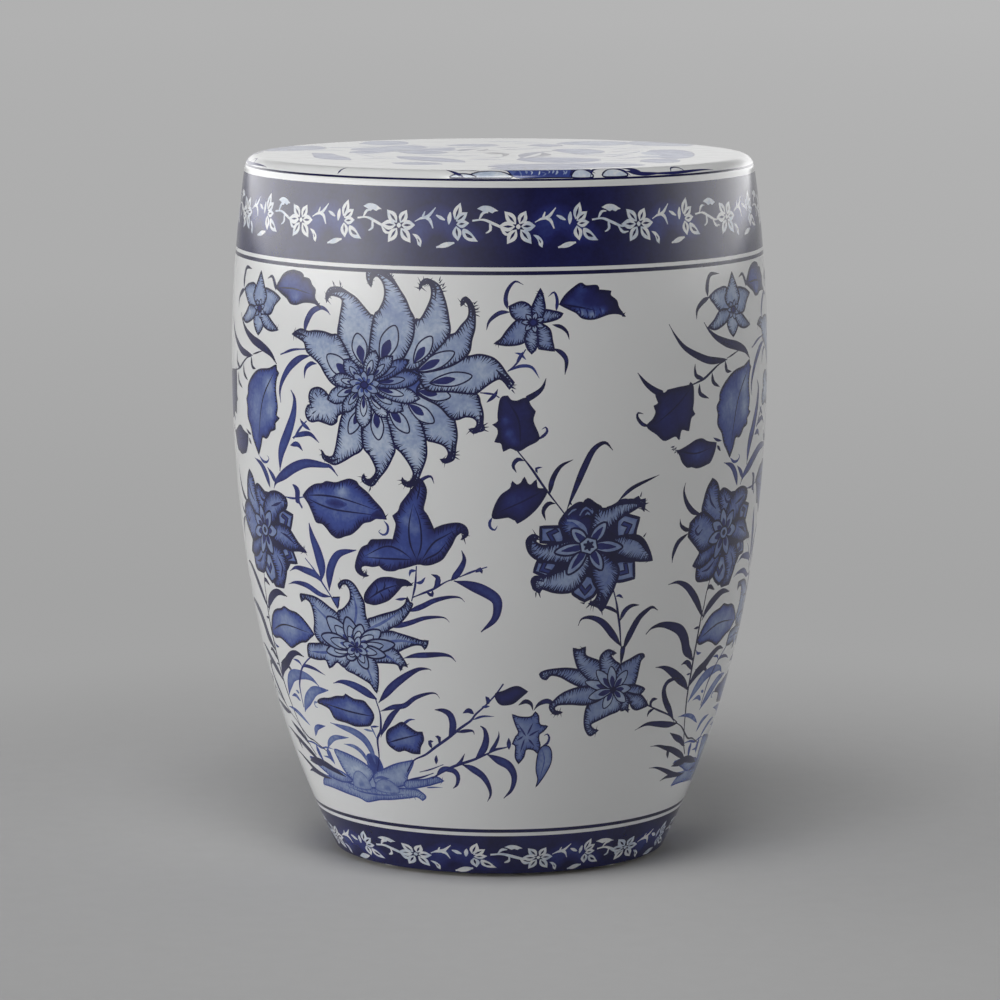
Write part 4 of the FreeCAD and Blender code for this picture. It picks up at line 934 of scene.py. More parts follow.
    (1.0, [(-66, 72.5), (-56, 75), (-45, 78.8)]),
    (3.0, .5, [(-50, 85), (-51, 78.8)]),
    (1.2, [(-79, 66), (-65, 69), (-54, 72.5)]),
    # low on the right
    (5.0, .5, [(168.5, 68), (186.5, 68.5), (201.5, 66.5), (221.5, 62)]),
    (3.0, .5, [(-207.5, 58.8), (-193.8, 59.4), (-178.8, 58.8), (-168.8, 59.4)]),
    (4.5, .7, [(110.6, 97.5), (121.3, 100.6), (133.8, 99.4), (146.3, 97.5), (157.5, 96.9)]),
    (4.5, .5, [(151.3, 91.3), (160, 87.5), (170, 83.8), (176.3, 80), (180, 78.8)]),
    (4.5, .7, [(131.3, 84.4), (140, 83.8), (150, 81.3), (160, 78.8), (171.3, 75), (181.3, 71.3),
     (188.8, 67.5)]),
    (3.5, .4, [(153.8, 80), (156.3, 76.3), (158, 73)]),
    (3.5, .6, [(136.3, 69), (146.3, 68), (160, 64.4), (175, 60), (190, 58), (198.8, 58)]),
    (3.0, .5, [(156.3, 57.5), (165, 59.4), (177.5, 58.8), (190, 56.9)]),
    (4.0, .5, [(167.5, 66.3), (177.5, 66.9), (190, 65.6)]),
    (1.4, [(155, 98), (165, 93.8), (172.5, 88.8), (181.3, 83.8), (190, 82.5), (205, 77.5)]),
    (1.4, [(115, 114.4), (120, 113), (131.3, 108.8), (143.8, 104.4), (152.5, 100), (157.5, 97.5)]),
    (3.0, .5, [(127.5, 117), (122.5, 116.9), (121.3, 113.8), (123.8, 111.3)]),
    (2.5, .5, [(126.3, 110.6), (121.3, 108.8), (120.6, 105.6)]),
    # at the hooked flower's neck
    (4.0, .1, [(89, 156), (88.8, 143)]),
)


def stroke_tone(points):
    """How dark the blades and stems are in that part of the sheet."""
    x, y = np.mean([q[:2] for q in points], 0)
    if x < -100:
        return 0.44 if y < 125 else 0.66
    if x > 95:
        return 0.88
    return 0.72 if x < 20 else 0.80


def grasses(p):
    """Stems, twigs and the brushed blades between the flowers."""
    for width, *peak, points in STROKES:
        tone = stroke_tone(points)
        if peak:
            rim = min(tone + 0.13, LINE) if width > 2.4 else None
            p.blade(points, width, peak[0], tone, 0.10, rim)
        else:
            p.blade(points, width, 0.4, min(tone + 0.08, LINE), 0.55)
    p.fill([(-151, 255), (-146.3, 254.4), (-143.8, 251.3), (-144.4, 245), (-141.9, 241.3, 1),
        (-143, 240), (-145.6, 243), (-148.8, 243.8), (-148.8, 251.3)], DEEP, 0)
    p.fill([(-122.5, 184.4, 1), (-115, 185.6, 1), (-118, 178, 1)], BLUE, 1.0)


def body_print():
    """One printed sheet, from the rock at the foot to the stars under the upper band."""
    p = Print()
    ground(p)
    grasses(p)
    leaves(p)
    side_flower(p)
    pale_flower(p)
    dark_flower(p)
    hooked_flower(p)
    low_star(p)
    pinwheel(p)
    stars(p)
    return p.shapes


LEFT = 0.05  # the faint tint of the flowers that are left out of the dark band


def garland(p, at, level, wide, tall):
    """One repeat of the pale flowers left bare in the dark band."""
    def put(points):
        return [(at + q[0] * wide, level + q[1] * tall) + tuple(q[2:]) for q in points]

    def spot(points, tone, rim=None, reach=1.5):
        p.fill(put(points), tone, 0, rim, reach)

    def petal(tip, width, base=(0, 0), core=0.3):
        on = petal_frame(base, tip, width)
        spot([on(0.16, 0) + (1,), on(0.40, 0.44), on(0.66, 0.46), on(1, 0) + (1,), on(0.66, -0.46),
            on(0.40, -0.44)], LEFT)
        spot([on(0.5 - core, 0) + (1,), on(0.5, 0.13), on(0.52 + core, 0) + (1,), on(0.5, -0.13)],
            GROUND)

    def dash(points, width, peak=0.5, tail=0.3):
        p.blade(put(points), width * (wide + tall) / 2, peak, LEFT, tail)

    # the bluer, thinner ground round the small flower
    spot([(4, 2), (14, 12), (26, 15), (36, 12), (42, 6), (52, 2), (58, -6), (50, -13), (38, -12),
        (26, -6), (18, -13), (9, -10)], 0.70, GROUND, 5.0)
    # the leaf and its scallops
    spot([(-27, 11, 1), (-23, 12.8), (-18, 12.4), (-13, 9.6, 1), (-15.4, 9.2), (-17, 8.2),
        (-19.4, 9.2), (-21.4, 8.4), (-24, 9.8)], LEFT)
    for tip in ((-13.2, 0.2), (-9.0, 9.4), (5.2, 9.6), (11.4, 0.4), (8.6, -10.6), (-7.4, -10.6)):
        petal(tip, 6.2, core=0.24)
    spot(diamond((0, 0), 1.6, 1.6), LEFT)
    spot([(9.6, -5.0, 1), (13, -5.6), (16, -9), (15.6, -13, 1), (13.4, -11.4), (12.6, -8.4)], LEFT)
    spot([(13.2, -7.6), (14.6, -9), (14.6, -10.4), (13.8, -9.2)], GROUND)
    # the twig between the two flowers
    dash([(11, 2.6), (15, 4.6), (20, 6), (25, 11.4)], 2.0, 0.55)
    dash([(16.4, 5.4), (21, 4), (23.6, -1.4)], 2.2, 0.35)
    dash([(16, 4.4), (17.8, 9)], 1.6, 0.3)
    dash([(25.4, 6.8), (31.4, 3.8)], 2.2)
    # the small flower, seen from the side
    spot([(34, 1), (35.8, 4.6), (35, 9), (33, 5.4)], LEFT)
    petal((41.6, 14.6), 5.6, (37.4, 2), 0.26)
    petal((46.4, 8.8), 5.4, (37.4, 2), 0.26)
    petal((47.6, 2.2), 5.0, (37.4, 1), 0.20)
    petal((40.4, -9), 6.0, (38.6, 2), 0.24)
    spot([(43.4, -1.4), (48, -3), (53.4, -9.2, 1), (47.4, -8.8), (43.6, -6)], LEFT)
    spot([(45, -4), (48, -5), (50, -7), (46.6, -6.6)], GROUND)
    dash([(26, -13), (31.5, -11.6), (38, -10)], 3.2)
    # the long twig to the next flower
    dash([(49.6, 3.6), (57, 4.2), (64, 1.6), (71, -1), (77, 0)], 1.8, 0.5, 0.6)
    dash([(54, 4.4), (56.6, 8.4), (60, 8.6)], 1.8, 0.4)
    dash([(61, 3), (61.4, -2), (58.4, -4)], 1.9, 0.4)
    dash([(68, -0.6), (71.4, -4.6), (75.6, -4.4)], 1.9, 0.4)


GARLAND_WIDTH = 80.0  # of one repeat of the flowers as drawn above
UPPER_LEVEL, UPPER_TALL = 423.0, 1.0  # the height of the flowers' hearts, and their stretch
LOWER_LEVEL, LOWER_TALL = 13.5, 0.74


def garland_row(level, tall, singles, start, end, count):
    """A ring of garlands at that height. The singles stand at (distance, stretch), and the
    rest, count of them, share out the way round from start to end."""
    p = Print()
    for at, stretch in singles:
        garland(p, at, level, stretch, tall)
    pitch = (ROUND - (start - end)) / count
    for i in range(count):
        garland(p, start + i * pitch, level, pitch / GARLAND_WIDTH, tall)
    return p.shapes


def upper_garland():
    singles = [(at, 0.98) for at in (-145.0, -66.0, 12.0, 94.0)]
    return garland_row(UPPER_LEVEL, UPPER_TALL, singles, 178.0, -145.0, 10)


def lower_garland():
    singles = [(-86.0, 124.5 / GARLAND_WIDTH), (38.5, 100.5 / GARLAND_WIDTH)]
    return garland_row(LOWER_LEVEL, LOWER_TALL, singles, 139.0, -86.0, 7)


def seat_print():
    """Loose flowers and leaves in a soft wash over the seat, and some that run over its edge."""
    p = Print()

    def wash(points, tone, vein=None):
        loop = p.fill(points, tone + 0.22, 1.2, rim=tone + 0.34, reach=6.0, ink=0.70)
        p.hatch(loop, 8.0, 3.6, 0.5, 1.6, 0.70)
        if vein:
            p.blade(vein, 1.8, 0.3, 0.56)

    # the broad flower on the left
    for points in (
            [(-64, 34), (-80, 26), (-96, 34), (-95, 52), (-80, 60), (-66, 48)],
            [(-66, 40), (-78, 58), (-72, 76), (-56, 80), (-48, 62), (-56, 44)],
            [(-60, 38), (-46, 50), (-32, 54), (-30, 36), (-38, 26), (-52, 28)],
            [(-60, 34), (-44, 26), (-34, 8), (-44, -8), (-58, -2), (-66, 18)],
            [(-66, 34), (-72, 14), (-88, 0), (-98, 10), (-92, 26), (-78, 34)]):
        wash(points, 0.26)
    heart = (-63, 34)
    for a in turns(7):
        p.teardrop(heart, spoke(heart, 17, 17, a), 8, 0.40, 0.7)
    p.fill(diamond(heart, 5, 4), 0.8, 1.0)
    # leaves round it
    for tone, points, vein in (
            (0.28, [(-122, 4, 1), (-110, -2), (-104, -22), (-97, -44), (-95, -64, 1), (-106, -60),
             (-117, -44), (-120, -20)], [(-118, 0), (-108, -30), (-97, -60)]),
            (0.30, [(-66, -28, 1), (-52, -32), (-36, -46), (-24, -68), (-22, -86, 1), (-40, -78),
             (-56, -62), (-64, -46)], [(-62, -32), (-44, -56), (-26, -80)]),
            (0.28, [(-68, -88, 1), (-54, -83), (-40, -90), (-36, -104, 1), (-52, -108),
             (-64, -100)], [(-64, -90), (-52, -96), (-40, -102)]),
            (0.22, [(-94, 98, 1), (-88, 122), (-72, 128), (-62, 112), (-64, 88, 1), (-80, 84)],
             [(-90, 100), (-78, 108), (-66, 92)]),
            (0.18, [(-36, 84, 1), (-22, 94), (-6, 92), (0, 80, 1), (-14, 72), (-30, 74)],
             [(-34, 84), (-4, 81)]),
            (0.30, [(18, 80, 1), (26, 92), (40, 88), (42, 74, 1), (30, 68)], [(20, 80), (40, 76)]),
            (0.20, [(38, 96, 1), (44, 114), (62, 124), (84, 118), (92, 100, 1), (78, 86), (56, 84)],
             [(40, 97), (64, 104), (90, 100)]),
            (0.20, [(34, 34, 1), (44, 46), (58, 42), (68, 22), (66, 2, 1), (52, -4), (42, 10)],
             [(36, 34), (54, 20), (65, 4)]),
            (0.28, [(14, -44, 1), (30, -40), (50, -44), (64, -60), (58, -80), (38, -92, 1),
             (22, -82), (12, -62)], [(16, -46), (38, -62), (40, -88)]),
            (0.25, [(100, 34, 1), (114, 36), (124, 20), (126, -12), (122, -40), (112, -56, 1),
             (102, -40), (104, -14), (96, 6)], [(102, 32), (114, -10), (112, -50)]),
            (0.26, [(92, -58, 1), (104, -52), (114, -64), (112, -84), (100, -92, 1), (90, -78)],
             [(94, -60), (102, -88)])):
        wash(points, tone, vein)
    wash([(-6, -118), (18, -102), (52, -96), (84, -100), (90, -114), (66, -132), (24, -140),
        (0, -134)], 0.34, [(2, -122), (40, -112), (84, -108)])
    # petals and streaks painted over the washes
    for points, tone in (
            ([(-92, 44, 1), (-84, 56), (-72, 50), (-64, 36, 1), (-78, 36)], 0.38),
            ([(-70, 72, 1), (-58, 66), (-56, 48), (-62, 38, 1), (-70, 54)], 0.34),
            ([(-36, 48, 1), (-38, 36), (-50, 32), (-60, 34, 1), (-48, 44)], 0.42),
            ([(-44, -2, 1), (-50, 10), (-58, 20), (-62, 30, 1), (-52, 22)], 0.40),
            ([(-90, 8, 1), (-82, 20), (-72, 26), (-66, 32, 1), (-76, 32)], 0.36),
            ([(98, 18, 1), (92, 4), (96, -14), (106, -20, 1), (104, 0)], 0.30),
            ([(124, 6, 1), (116, -4), (110, -16), (106, -22, 1), (120, -14)], 0.40),
            ([(88, -30, 1), (94, -40), (104, -40), (108, -24, 1), (98, -24)], 0.34),
            ([(20, -58, 1), (32, -52), (46, -56), (54, -68, 1), (38, -68)], 0.44),
            ([(24, 84, 1), (30, 92), (40, 86), (40, 78, 1), (30, 78)], 0.36),
            ([(46, 104, 1), (58, 114), (74, 114), (86, 102, 1), (66, 98)], 0.30)):
        p.fill(points, tone, 0, rim=tone + 0.14, reach=4)
    for x, y, long, tone in ((-112, 30, 22, 0.30), (-104, 58, 26, 0.26), (-84, 70, 20, 0.34),
            (-46, 62, 34, 0.30), (-30, 26, 20, 0.52), (-24, 58, 26, 0.40), (-10, 66, 22, 0.44),
            (6, 58, 18, 0.56), (12, 40, 22, 0.50), (-6, 24, 14, 0.80), (26, 52, 24, 0.40),
            (64, 60, 30, 0.30), (70, 78, 26, 0.26), (84, 44, 22, 0.40), (58, -10, 20, 0.42),
            (76, -14, 24, 0.36), (-40, -20, 26, 0.34), (-20, -26, 22, 0.44), (-8, -60, 24, 0.40),
            (-84, -6, 20, 0.36), (-76, -48, 26, 0.34), (8, -104, 30, 0.34), (44, -106, 36, 0.40),
            (74, -92, 30, 0.36), (56, -52, 22, 0.50), (92, 62, 18, 0.34), (118, -20, 14, 0.44),
            (-66, 92, 22, 0.30), (20, 104, 26, 0.28), (4, 120, 30, 0.22)):
        p.blade([(x - long / 2, y - 2), (x, y + 2.4), (x + long / 2, y - 1)], 0.16 * long + 1.2,
            0.4, tone + 0.12)
    # the stems and dark buds in the middle
    for points, width, peak, tone in (
            ([(-26, 22), (-22, 38), (-12, 48)], 9, 0.5, 0.52),
            ([(-16, 22), (-10, 34), (-8, 44)], 5, 0.5, 0.62),
            ([(-14, 12), (-4, 8), (2, -2), (4, -14), (2, -30)], 6, 0.3, 0.90),
            ([(-10, 2), (-2, -4), (8, -2)], 7, 0.5, 0.84),
            ([(14, -46), (16, -20), (22, 4), (36, 26)], 9, 0.5, 0.50),
            ([(22, -30), (30, -14), (28, 8)], 7, 0.4, 0.62),
            ([(16, -46), (26, -32), (36, -28)], 5, 0.4, 0.60),
            ([(4, -30), (-6, -44), (-22, -44)], 3, 0.4, 0.5),
            ([(40, 10), (60, -20), (90, -40), (112, -30)], 2.4, 0.4, 0.5),
            ([(-34, 10), (-22, 6), (-12, 10)], 2.4, 0.4, 0.6),
            ([(-92, -10), (-80, -30), (-66, -34)], 2.4, 0.4, 0.46),
            ([(66, -36), (76, -24), (84, -4)], 3.4, 0.4, 0.36),
            ([(70, 10), (82, 24), (96, 30)], 3.0, 0.4, 0.36),
            ([(64, -70), (80, -66), (92, -60)], 3.0, 0.4, 0.36),
            ([(78, -2), (88, 8), (92, 22)], 4.0, 0.4, 0.30),
            ([(72, -50), (82, -48), (90, -36)], 4.0, 0.4, 0.30)):
        p.blade(points, width, peak, min(tone + 0.22, LINE))
    # the flower that is cut by the seat's edge
    brim = SEAT_RADIUS + 9.6  # where the chart's edge lies, a little down the rim
    for turn in (0.0, 2.15, 4.2):
        def edge(u, v, turn=turn):
            a = u / brim + turn
            return ((brim - v) * math.sin(a), -(brim - v) * math.cos(a))

        def edged(points, tone, outline=1.1):
            p.fill([edge(q[0], q[1]) + tuple(q[2:]) for q in points], tone, outline)

        edged([(-8, 20, 1), (2, 34), (22, 42), (44, 38), (56, 24), (60, 8), (54, 0.3), (14, 0.3),
            (4, 8)], 0.56, 0.9)
        for tip in ((-3, 21), (8, 32), (24, 38), (41, 35), (53, 24), (59, 11)):
            p.teardrop(edge(28, 4), edge(*tip), 13, 0.44, 0.74, 1.0)
        edged([(12, 0.3), (13, 8), (24, 11), (38, 10), (52, 8), (56, 0.3)], 0.66, 0)
        for k in range(13):
            x, low = 13 + 3.2 * k + 2.2 * wave(k, 3.0), 0.8 + 3.6 * wave(k, 1.0)
            p.blade([edge(x, low), edge(x + 2.6 * wave(k, 2.0), low + 1.6 + 1.6 * wave(k, 4.0)),
                edge(x + 3.4 * wave(k, 5.0) - 1.2, low + 3.4 + 3.4 * wave(k, 9.0))],
                0.7 + 0.9 * wave(k, 8.0), 0.4, 0.20 + 0.26 * wave(k, 6.0))
        edged([(-19, 0.4), (-15, 5), (-5, 7), (3, 5), (7, 0.4)], 0.10)
        edged([(-31, 0.4), (-27, 3.4), (-19, 3.2), (-15, 0.4)], 0.10)
        edged([(67, 0.4), (71, 6), (78, 7), (84, 0.4)], 0.08)
        edged([(46, 0.4), (50, 7), (55, 8), (60, 0.4)], 0.12)
        for points, width, peak in (
                ([(-37, 10), (-31, 6), (-22, 0.4)], 2.2, 0.7),
                ([(-28, 7), (-20, 8.4), (-12, 6)], 1.2, 0.5),
                ([(58, 0.4), (62, 7), (70, 10), (80, 7.6), (86, 0.4)], 3.2, 0.5),
                ([(80, 10), (88, 7), (96, 0.6)], 4.4, 0.6),
                ([(44, 0.6), (50, 9.6), (56, 9), (62, 3)], 2.6, 0.6),
                ([(84, 4), (96, 1.4), (112, 1)], 3.4, 0.2),
                ([(118, 0.4), (121, 5), (127, 5.4), (132, 0.4)], 1.4, 0.5),
                ([(96, 0.8), (124, 0.9), (160, 0.7)], 2.2, 0.4),
                ([(-110, 0.4), (-109, 4), (-106, 7)], 1.4, 0.1)):
            p.blade([edge(*q) for q in points], width, peak, 0.84)
    return p.shapes


# ---------------------------------------------------------------- the turned surfaces
AXIS_LOW = BELLY_RADIUS - BELLY_CURVE  # where the belly's arc has its centre
SLOPE = (TURN_HEIGHT - BELLY_HEIGHT) / BELLY_CURVE
AXIS_FOOT = AXIS_LOW + (BELLY_CURVE - FOOT_CURVE) * math.sqrt(1 - SLOPE ** 2)
FOOT_HEIGHT = BELLY_HEIGHT + (BELLY_CURVE - FOOT_CURVE) * SLOPE
RIM_HEIGHT = HEIGHT - RIM_RADIUS
LEAN = (RIM_HEIGHT - BELLY_HEIGHT) / (BELLY_CURVE - RIM_RADIUS)
SEAT_RADIUS = AXIS_LOW + (BELLY_CURVE - RIM_RADIUS) * math.sqrt(1 - LEAN ** 2)
SHOULDER = BELLY_HEIGHT + BELLY_CURVE * LEAN


def profile(z):
    """Radius of the outside at the heights z, and how far the surface there faces up."""
    z = np.asarray(z, float)
    foot, belly = z < TURN_HEIGHT, z < SHOULDER
    centre = np.where(foot, AXIS_FOOT, np.where(belly, AXIS_LOW, SEAT_RADIUS))
    level = np.where(foot, FOOT_HEIGHT, np.where(belly, BELLY_HEIGHT, RIM_HEIGHT))
    size = np.where(foot, FOOT_CURVE, np.where(belly, BELLY_CURVE, RIM_RADIUS))
    up = np.clip((z - level) / size, -1, 1)
    return centre + size * np.sqrt(1 - up ** 2), up


def wall(x, y):
    """Places and normals on the stool's side, from chart distance and height."""
    turn = np.asarray(x, float) / BELLY_RADIUS
    radius, up = profile(y)
    out = np.sqrt(1 - up ** 2)
    place = np.stack([radius * np.sin(turn), -radius * np.cos(turn), y + 0 * turn], 1)
    normal = np.stack([out * np.sin(turn), -out * np.cos(turn), up], 1)
    return place, normal


def seat(x, y):
    """Places and normals on the seat. Past its flat part, the chart follows the rim's arc."""
    x, y = np.asarray(x, float), np.asarray(y, float)
    far = np.hypot(x, y)
    angle = np.maximum(far - SEAT_RADIUS, 0) / RIM_RADIUS
    radius = np.minimum(far, SEAT_RADIUS) + RIM_RADIUS * np.sin(angle)
    ex, ey = x / np.maximum(far, TINY), y / np.maximum(far, TINY)
    height = HEIGHT - RIM_RADIUS * (1 - np.cos(angle))
    place = np.stack([radius * ex, radius * ey, height], 1)
    normal = np.stack([np.sin(angle) * ex, np.sin(angle) * ey, np.cos(angle)], 1)
    return place, normal


# ---------------------------------------------------------------- charts cut into faces
PAIRS_AT_ONCE = 2000000  # of a point and a loop's run, which are compared together
ROW_SHARE = 0.87  # of the pitch, between rows that are offset like bricks
HIDING_AREA = 12.0  # square millimetres. A smaller shape isn't looked at for what it hides
CLEAR_SHARE = 0.4  # of a pitch, free between corners of two kinds
OUTLINE_SHARE = 0.3  # of a pitch, free beside a drawn outline
LEAST_TONE = 0.04  # of a painted place, however thin the wash
INNER_PITCH = 12.0  # between the corners of a shell's plain back
OUTER_MERGE = 1e-4  # millimetres. Corners nearer than that become one on the printed side
INNER_MERGE = 1e-5  # and on the back


def from_left(points):
    """The points' order from left to right, and their x in that order."""
    order = np.argsort(points[:, 0], kind="stable")
    return order, points[order, 0]


def inside(points, loops, index=None):
    """Which points lie in the loops, all of which run anticlockwise."""
    order, along = index or from_left(points)
    crossings = np.zeros(len(points), int)
    for loop in loops:
        low, high = loop.min(0), loop.max(0)
        near = order[np.searchsorted(along, low[0]):np.searchsorted(along, high[0], "right")]
        near = near[(points[near, 1] >= low[1]) & (points[near, 1] <= high[1])]
        if not len(near):
            continue
        a, b = loop, np.roll(loop, -1, 0)
        for part in np.array_split(near, 1 + len(near) * len(loop) // PAIRS_AT_ONCE):
            q = points[part]
            side = ((b[:, 0] - a[:, 0])[None] * (q[:, 1, None] - a[:, 1][None]) - (
                q[:, 0, None] - a[:, 0][None]) * (b[:, 1] - a[:, 1])[None])
            above = a[:, 1][None] <= q[:, 1, None]
            below = b[:, 1][None] > q[:, 1, None]
            crossings[part] += (above & below & (side > 0)).sum(1)
            crossings[part] -= (~above & ~below & (side < 0)).sum(1)
    return crossings > 0


def grid(low, high, pitch):
    """Points in rows that are offset like bricks, a little inside the box."""
    out = []
    rows = max(1, int(round((high[1] - low[1]) / (pitch * ROW_SHARE))))
    for j in range(rows):
        y = low[1] + (j + 0.5) * (high[1] - low[1]) / rows
        count = max(1, int(round((high[0] - low[0]) / pitch)))
        shift = 0.25 if j % 2 else 0.75
        x = low[0] + (np.arange(count) + shift) * (high[0] - low[0]) / count
        out.append(np.stack([x, np.full(count, y)], 1))
    return np.concatenate(out)


def apart(points, others, gap):
    """The points that have none of the others within about the gap."""
    if not len(others):
        return points
    cells = set(map(tuple, np.floor(others / gap).astype(int)))
    keep = [not any((i + di, j + dj) in cells for di in (-1, 0, 1) for dj in (-1, 0, 1)) for i,
        j in np.floor(points / gap).astype(int)]
    return points[np.array(keep, bool)]


def uncovered(shapes):
    """The shapes without the outlines that one later shape hides altogether."""
    if not shapes:
        return shapes
    loops = [l for s in shapes for l in s[0]]
    points = np.concatenate(loops)
    sizes = np.array([len(l) for l in loops])
    starts = np.cumsum(sizes) - sizes
    index = from_left(points)
    shown = np.ones(len(loops), bool)
    before = 0
    for s in shapes:
        if before and max(map(area_of, s[0])) > HIDING_AREA:
            within = np.add.reduceat(inside(points, s[0], index).astype(int), starts)
            shown[:before] &= within[:before] < sizes[:before]
        before += len(s[0])
    kept, before = [], 0
    for s in shapes:
        mine = [l for l, seen in zip(s[0], shown[before:]) if seen]
        before += len(s[0])
        if mine:
            kept.append((mine,) + tuple(s[1:]))
    return kept


def triangulated(loops, spots, merge, origins):
    """Triangles over the closed loops, whose runs become edges, and the loose spots between
    them. Returns corners, triangles and, if origins is set, what each corner was made from."""
    ends, start = [], 0
    for loop in loops:
        k = np.arange(len(loop))
        ends.append(np.stack([start + k, start + (k + 1) % len(loop)], 1))
        start += len(loop)
    verts, _, faces, sources, _, _ = delaunay_2d_cdt(
        [Vector(p) for p in np.concatenate(list(loops) + [spots])],
        [tuple(e) for e in np.concatenate(ends).tolist()], [], 0, merge, origins)
    return (np.array([tuple(v) for v in verts], float), np.array([tuple(f) for f in faces], int),
        sources)


def twice_area(corner):
    """Of triangles on a chart, and less than nothing for those that run clockwise."""
    a, b, c = corner[:, 0], corner[:, 1], corner[:, 2]
    return ((b[:, 0] - a[:, 0]) * (c[:, 1] - a[:, 1]) - (c[:, 0] - a[:, 0]) * (b[:, 1] - a[:, 1]))


def loose_spots(edge, points, shapes, coarse, fine):
    """Places inside the edge for corners that no outline gives. They lie close together
    where a shape's tone changes across it."""
    low, high = edge.min(0), edge.max(0)
    plain = grid(low, high, coarse)
    if shapes:
        close = grid(low, high, fine)
        drawn = np.zeros(len(close), bool)
        index = from_left(close)
        for loops, _, rim, _, glow in shapes:
            if rim is not None or glow:
                drawn |= inside(close, loops, index)
        close = close[drawn]
        plain = np.concatenate([apart(plain, close, coarse * CLEAR_SHARE), close])
    plain = plain[inside(plain, [edge])]
    return apart(plain, points, min(fine, coarse) * OUTLINE_SHARE)


def painted(shapes, verts, faces, middle):
    """The tone at each triangle's three corners."""
    tones = np.zeros((len(faces), 3))
    index = from_left(middle)
    for loops, tone, rim, reach, glow in shapes:
        mine = np.nonzero(inside(middle, loops, index))[0]
        if not len(mine):
            continue
        tones[mine] = tone
        if rim is None and not glow:
            continue
        at = verts[faces[mine]].reshape(-1, 2)
        value = np.full(len(at), float(tone))
        if rim is not None:
            gap = np.full(len(at), FAR)
            for loop in loops:
                gap = np.minimum(gap, distance_to(at, loop))
            value += (rim - tone) * np.exp(-gap / reach)
        for gx, gy, radius, amount in glow:
            off = (at[:, 0] - gx) ** 2 + (at[:, 1] - gy) ** 2
            value -= amount * np.exp(-off / radius ** 2)
        tones[mine] = np.clip(value, LEAST_TONE, 1).reshape(-1, 3)
    return tones


def cut(edge, shapes, coarse, fine):
    """Triangles of the area inside the closed loop edge, cut along every shape's outline.
    Returns corner points, triangles, and the tone at each triangle's three corners."""
    shapes = uncovered(shapes)
    lines = [edge] + [l for s in shapes for l in s[0]]
    spots = loose_spots(edge, np.concatenate(lines), shapes, coarse, fine)
    verts, faces, _ = triangulated(lines, spots, OUTER_MERGE, False)
    middle = verts[faces].mean(1)
    kept = inside(middle, [edge])
    faces, middle = faces[kept], middle[kept]
    clockwise = twice_area(verts[faces]) < 0
    faces[clockwise] = faces[clockwise][:, ::-1]
    return verts, faces, painted(shapes, verts, faces, middle)


def boundary(faces):
    """The loops of edges that only one triangle has, in the triangles' own direction."""
    pairs = np.concatenate([faces[:, [0, 1]], faces[:, [1, 2]], faces[:, [2, 0]]])
    known = set(map(tuple, pairs.tolist()))
    following = {a: b for a, b in known if (b, a) not in known}
    loops = []
    while following:
        first = next(iter(following))
        loop, at = [first], following.pop(first)
        while at != first:
            loop.append(at)
            at = following.pop(at)
        loops.append(loop)
    return loops


def printed_piece(name, verts, faces, normals, tones):
    """A new object. Its corners hold their own normals and, in the attribute "print", the
    tone. Corners past the end of the tones are bare."""
    mesh = bpy.data.meshes.new(name)
    mesh.from_pydata(verts / 1000, [], faces)
    colour = np.zeros((len(mesh.loops), 4), np.float32)
    colour[:, 3] = 1
    colour[:len(tones), 0] = tones
    ink = mesh.color_attributes.new("print", "FLOAT_COLOR", "CORNER")
    ink.data.foreach_set("color", colour.ravel())
    mesh.polygons.foreach_set("use_smooth", np.ones(len(faces), bool))
    mesh.normals_split_custom_set(normals)
    piece = bpy.data.objects.new(name, mesh)
    bpy.context.scene.collection.objects.link(piece)
    return piece


def plain_back(verts, loops):
    """The coarse triangles of a shell's inner side, and for each corner of the loops, in
    their order, the corner of the back that lies under it."""
    rim = np.concatenate([np.array(l) for l in loops])
    outline = [verts[l] for l in loops]
    spots = grid(verts.min(0), verts.max(0), INNER_PITCH)
    spots = spots[inside(spots, [max(map(facing_up, outline), key=area_of)])]
    spots = apart(spots, verts[rim], INNER_PITCH * CLEAR_SHARE)
    flat, back, sources = triangulated(outline, spots, INNER_MERGE, True)
    middle = flat[back].mean(1)
    held = np.zeros(len(back), bool)
    for l in outline:
        held ^= inside(middle, [facing_up(l)])
    back = back[held]
    turned = twice_area(flat[back]) > 0
    back[turned] = back[turned][:, ::-1]  # the back faces inwards
    twin = {}
    for new, olds in enumerate(sources):
        for old in olds:
            twin.setdefault(old, new)
    return flat, back, twin


def shell(name, surface, verts, faces, tones):
    """A closed shell as thick as the glaze: the cut triangles outside, a plain back inside,
    and a narrow wall round the edge."""
    used = np.unique(faces)
    index = np.full(len(verts), -1)
    index[used] = np.arange(len(used))
    verts, faces = verts[used], index[faces]
    place, normal = surface(verts[:, 0], verts[:, 1])
    loops = boundary(faces)
    flat, back, twin = plain_back(verts, loops)
    inner, inward = surface(flat[:, 0], flat[:, 1])
    both = np.concatenate([place, inner - GLAZE * inward])
    n = len(verts)
    walls, start = [], 0
    for l in loops:
        m = len(l)
        for k in range(m):
            o1, o2 = l[k], l[(k + 1) % m]
            i1, i2 = n + twin[start + k], n + twin[start + (k + 1) % m]
            walls += [(o2, o1, i1), (o2, i1, i2)]
        start += m
    walls = np.array(walls, int)
    tri = both[walls]
    outward = np.cross(tri[:, 1] - tri[:, 0], tri[:, 2] - tri[:, 0])
    outward /= np.maximum(np.linalg.norm(outward, axis=1), TINY)[:, None]
    normals = np.concatenate([normal[faces], -inward[back], np.repeat(outward[:, None], 3, 1)])
    piece = printed_piece(name, both, np.concatenate([faces, back + n, walls]).tolist(),
        normals.reshape(-1, 3), tones.ravel())
    piece.data.validate(clean_customdata=False)
    return piece


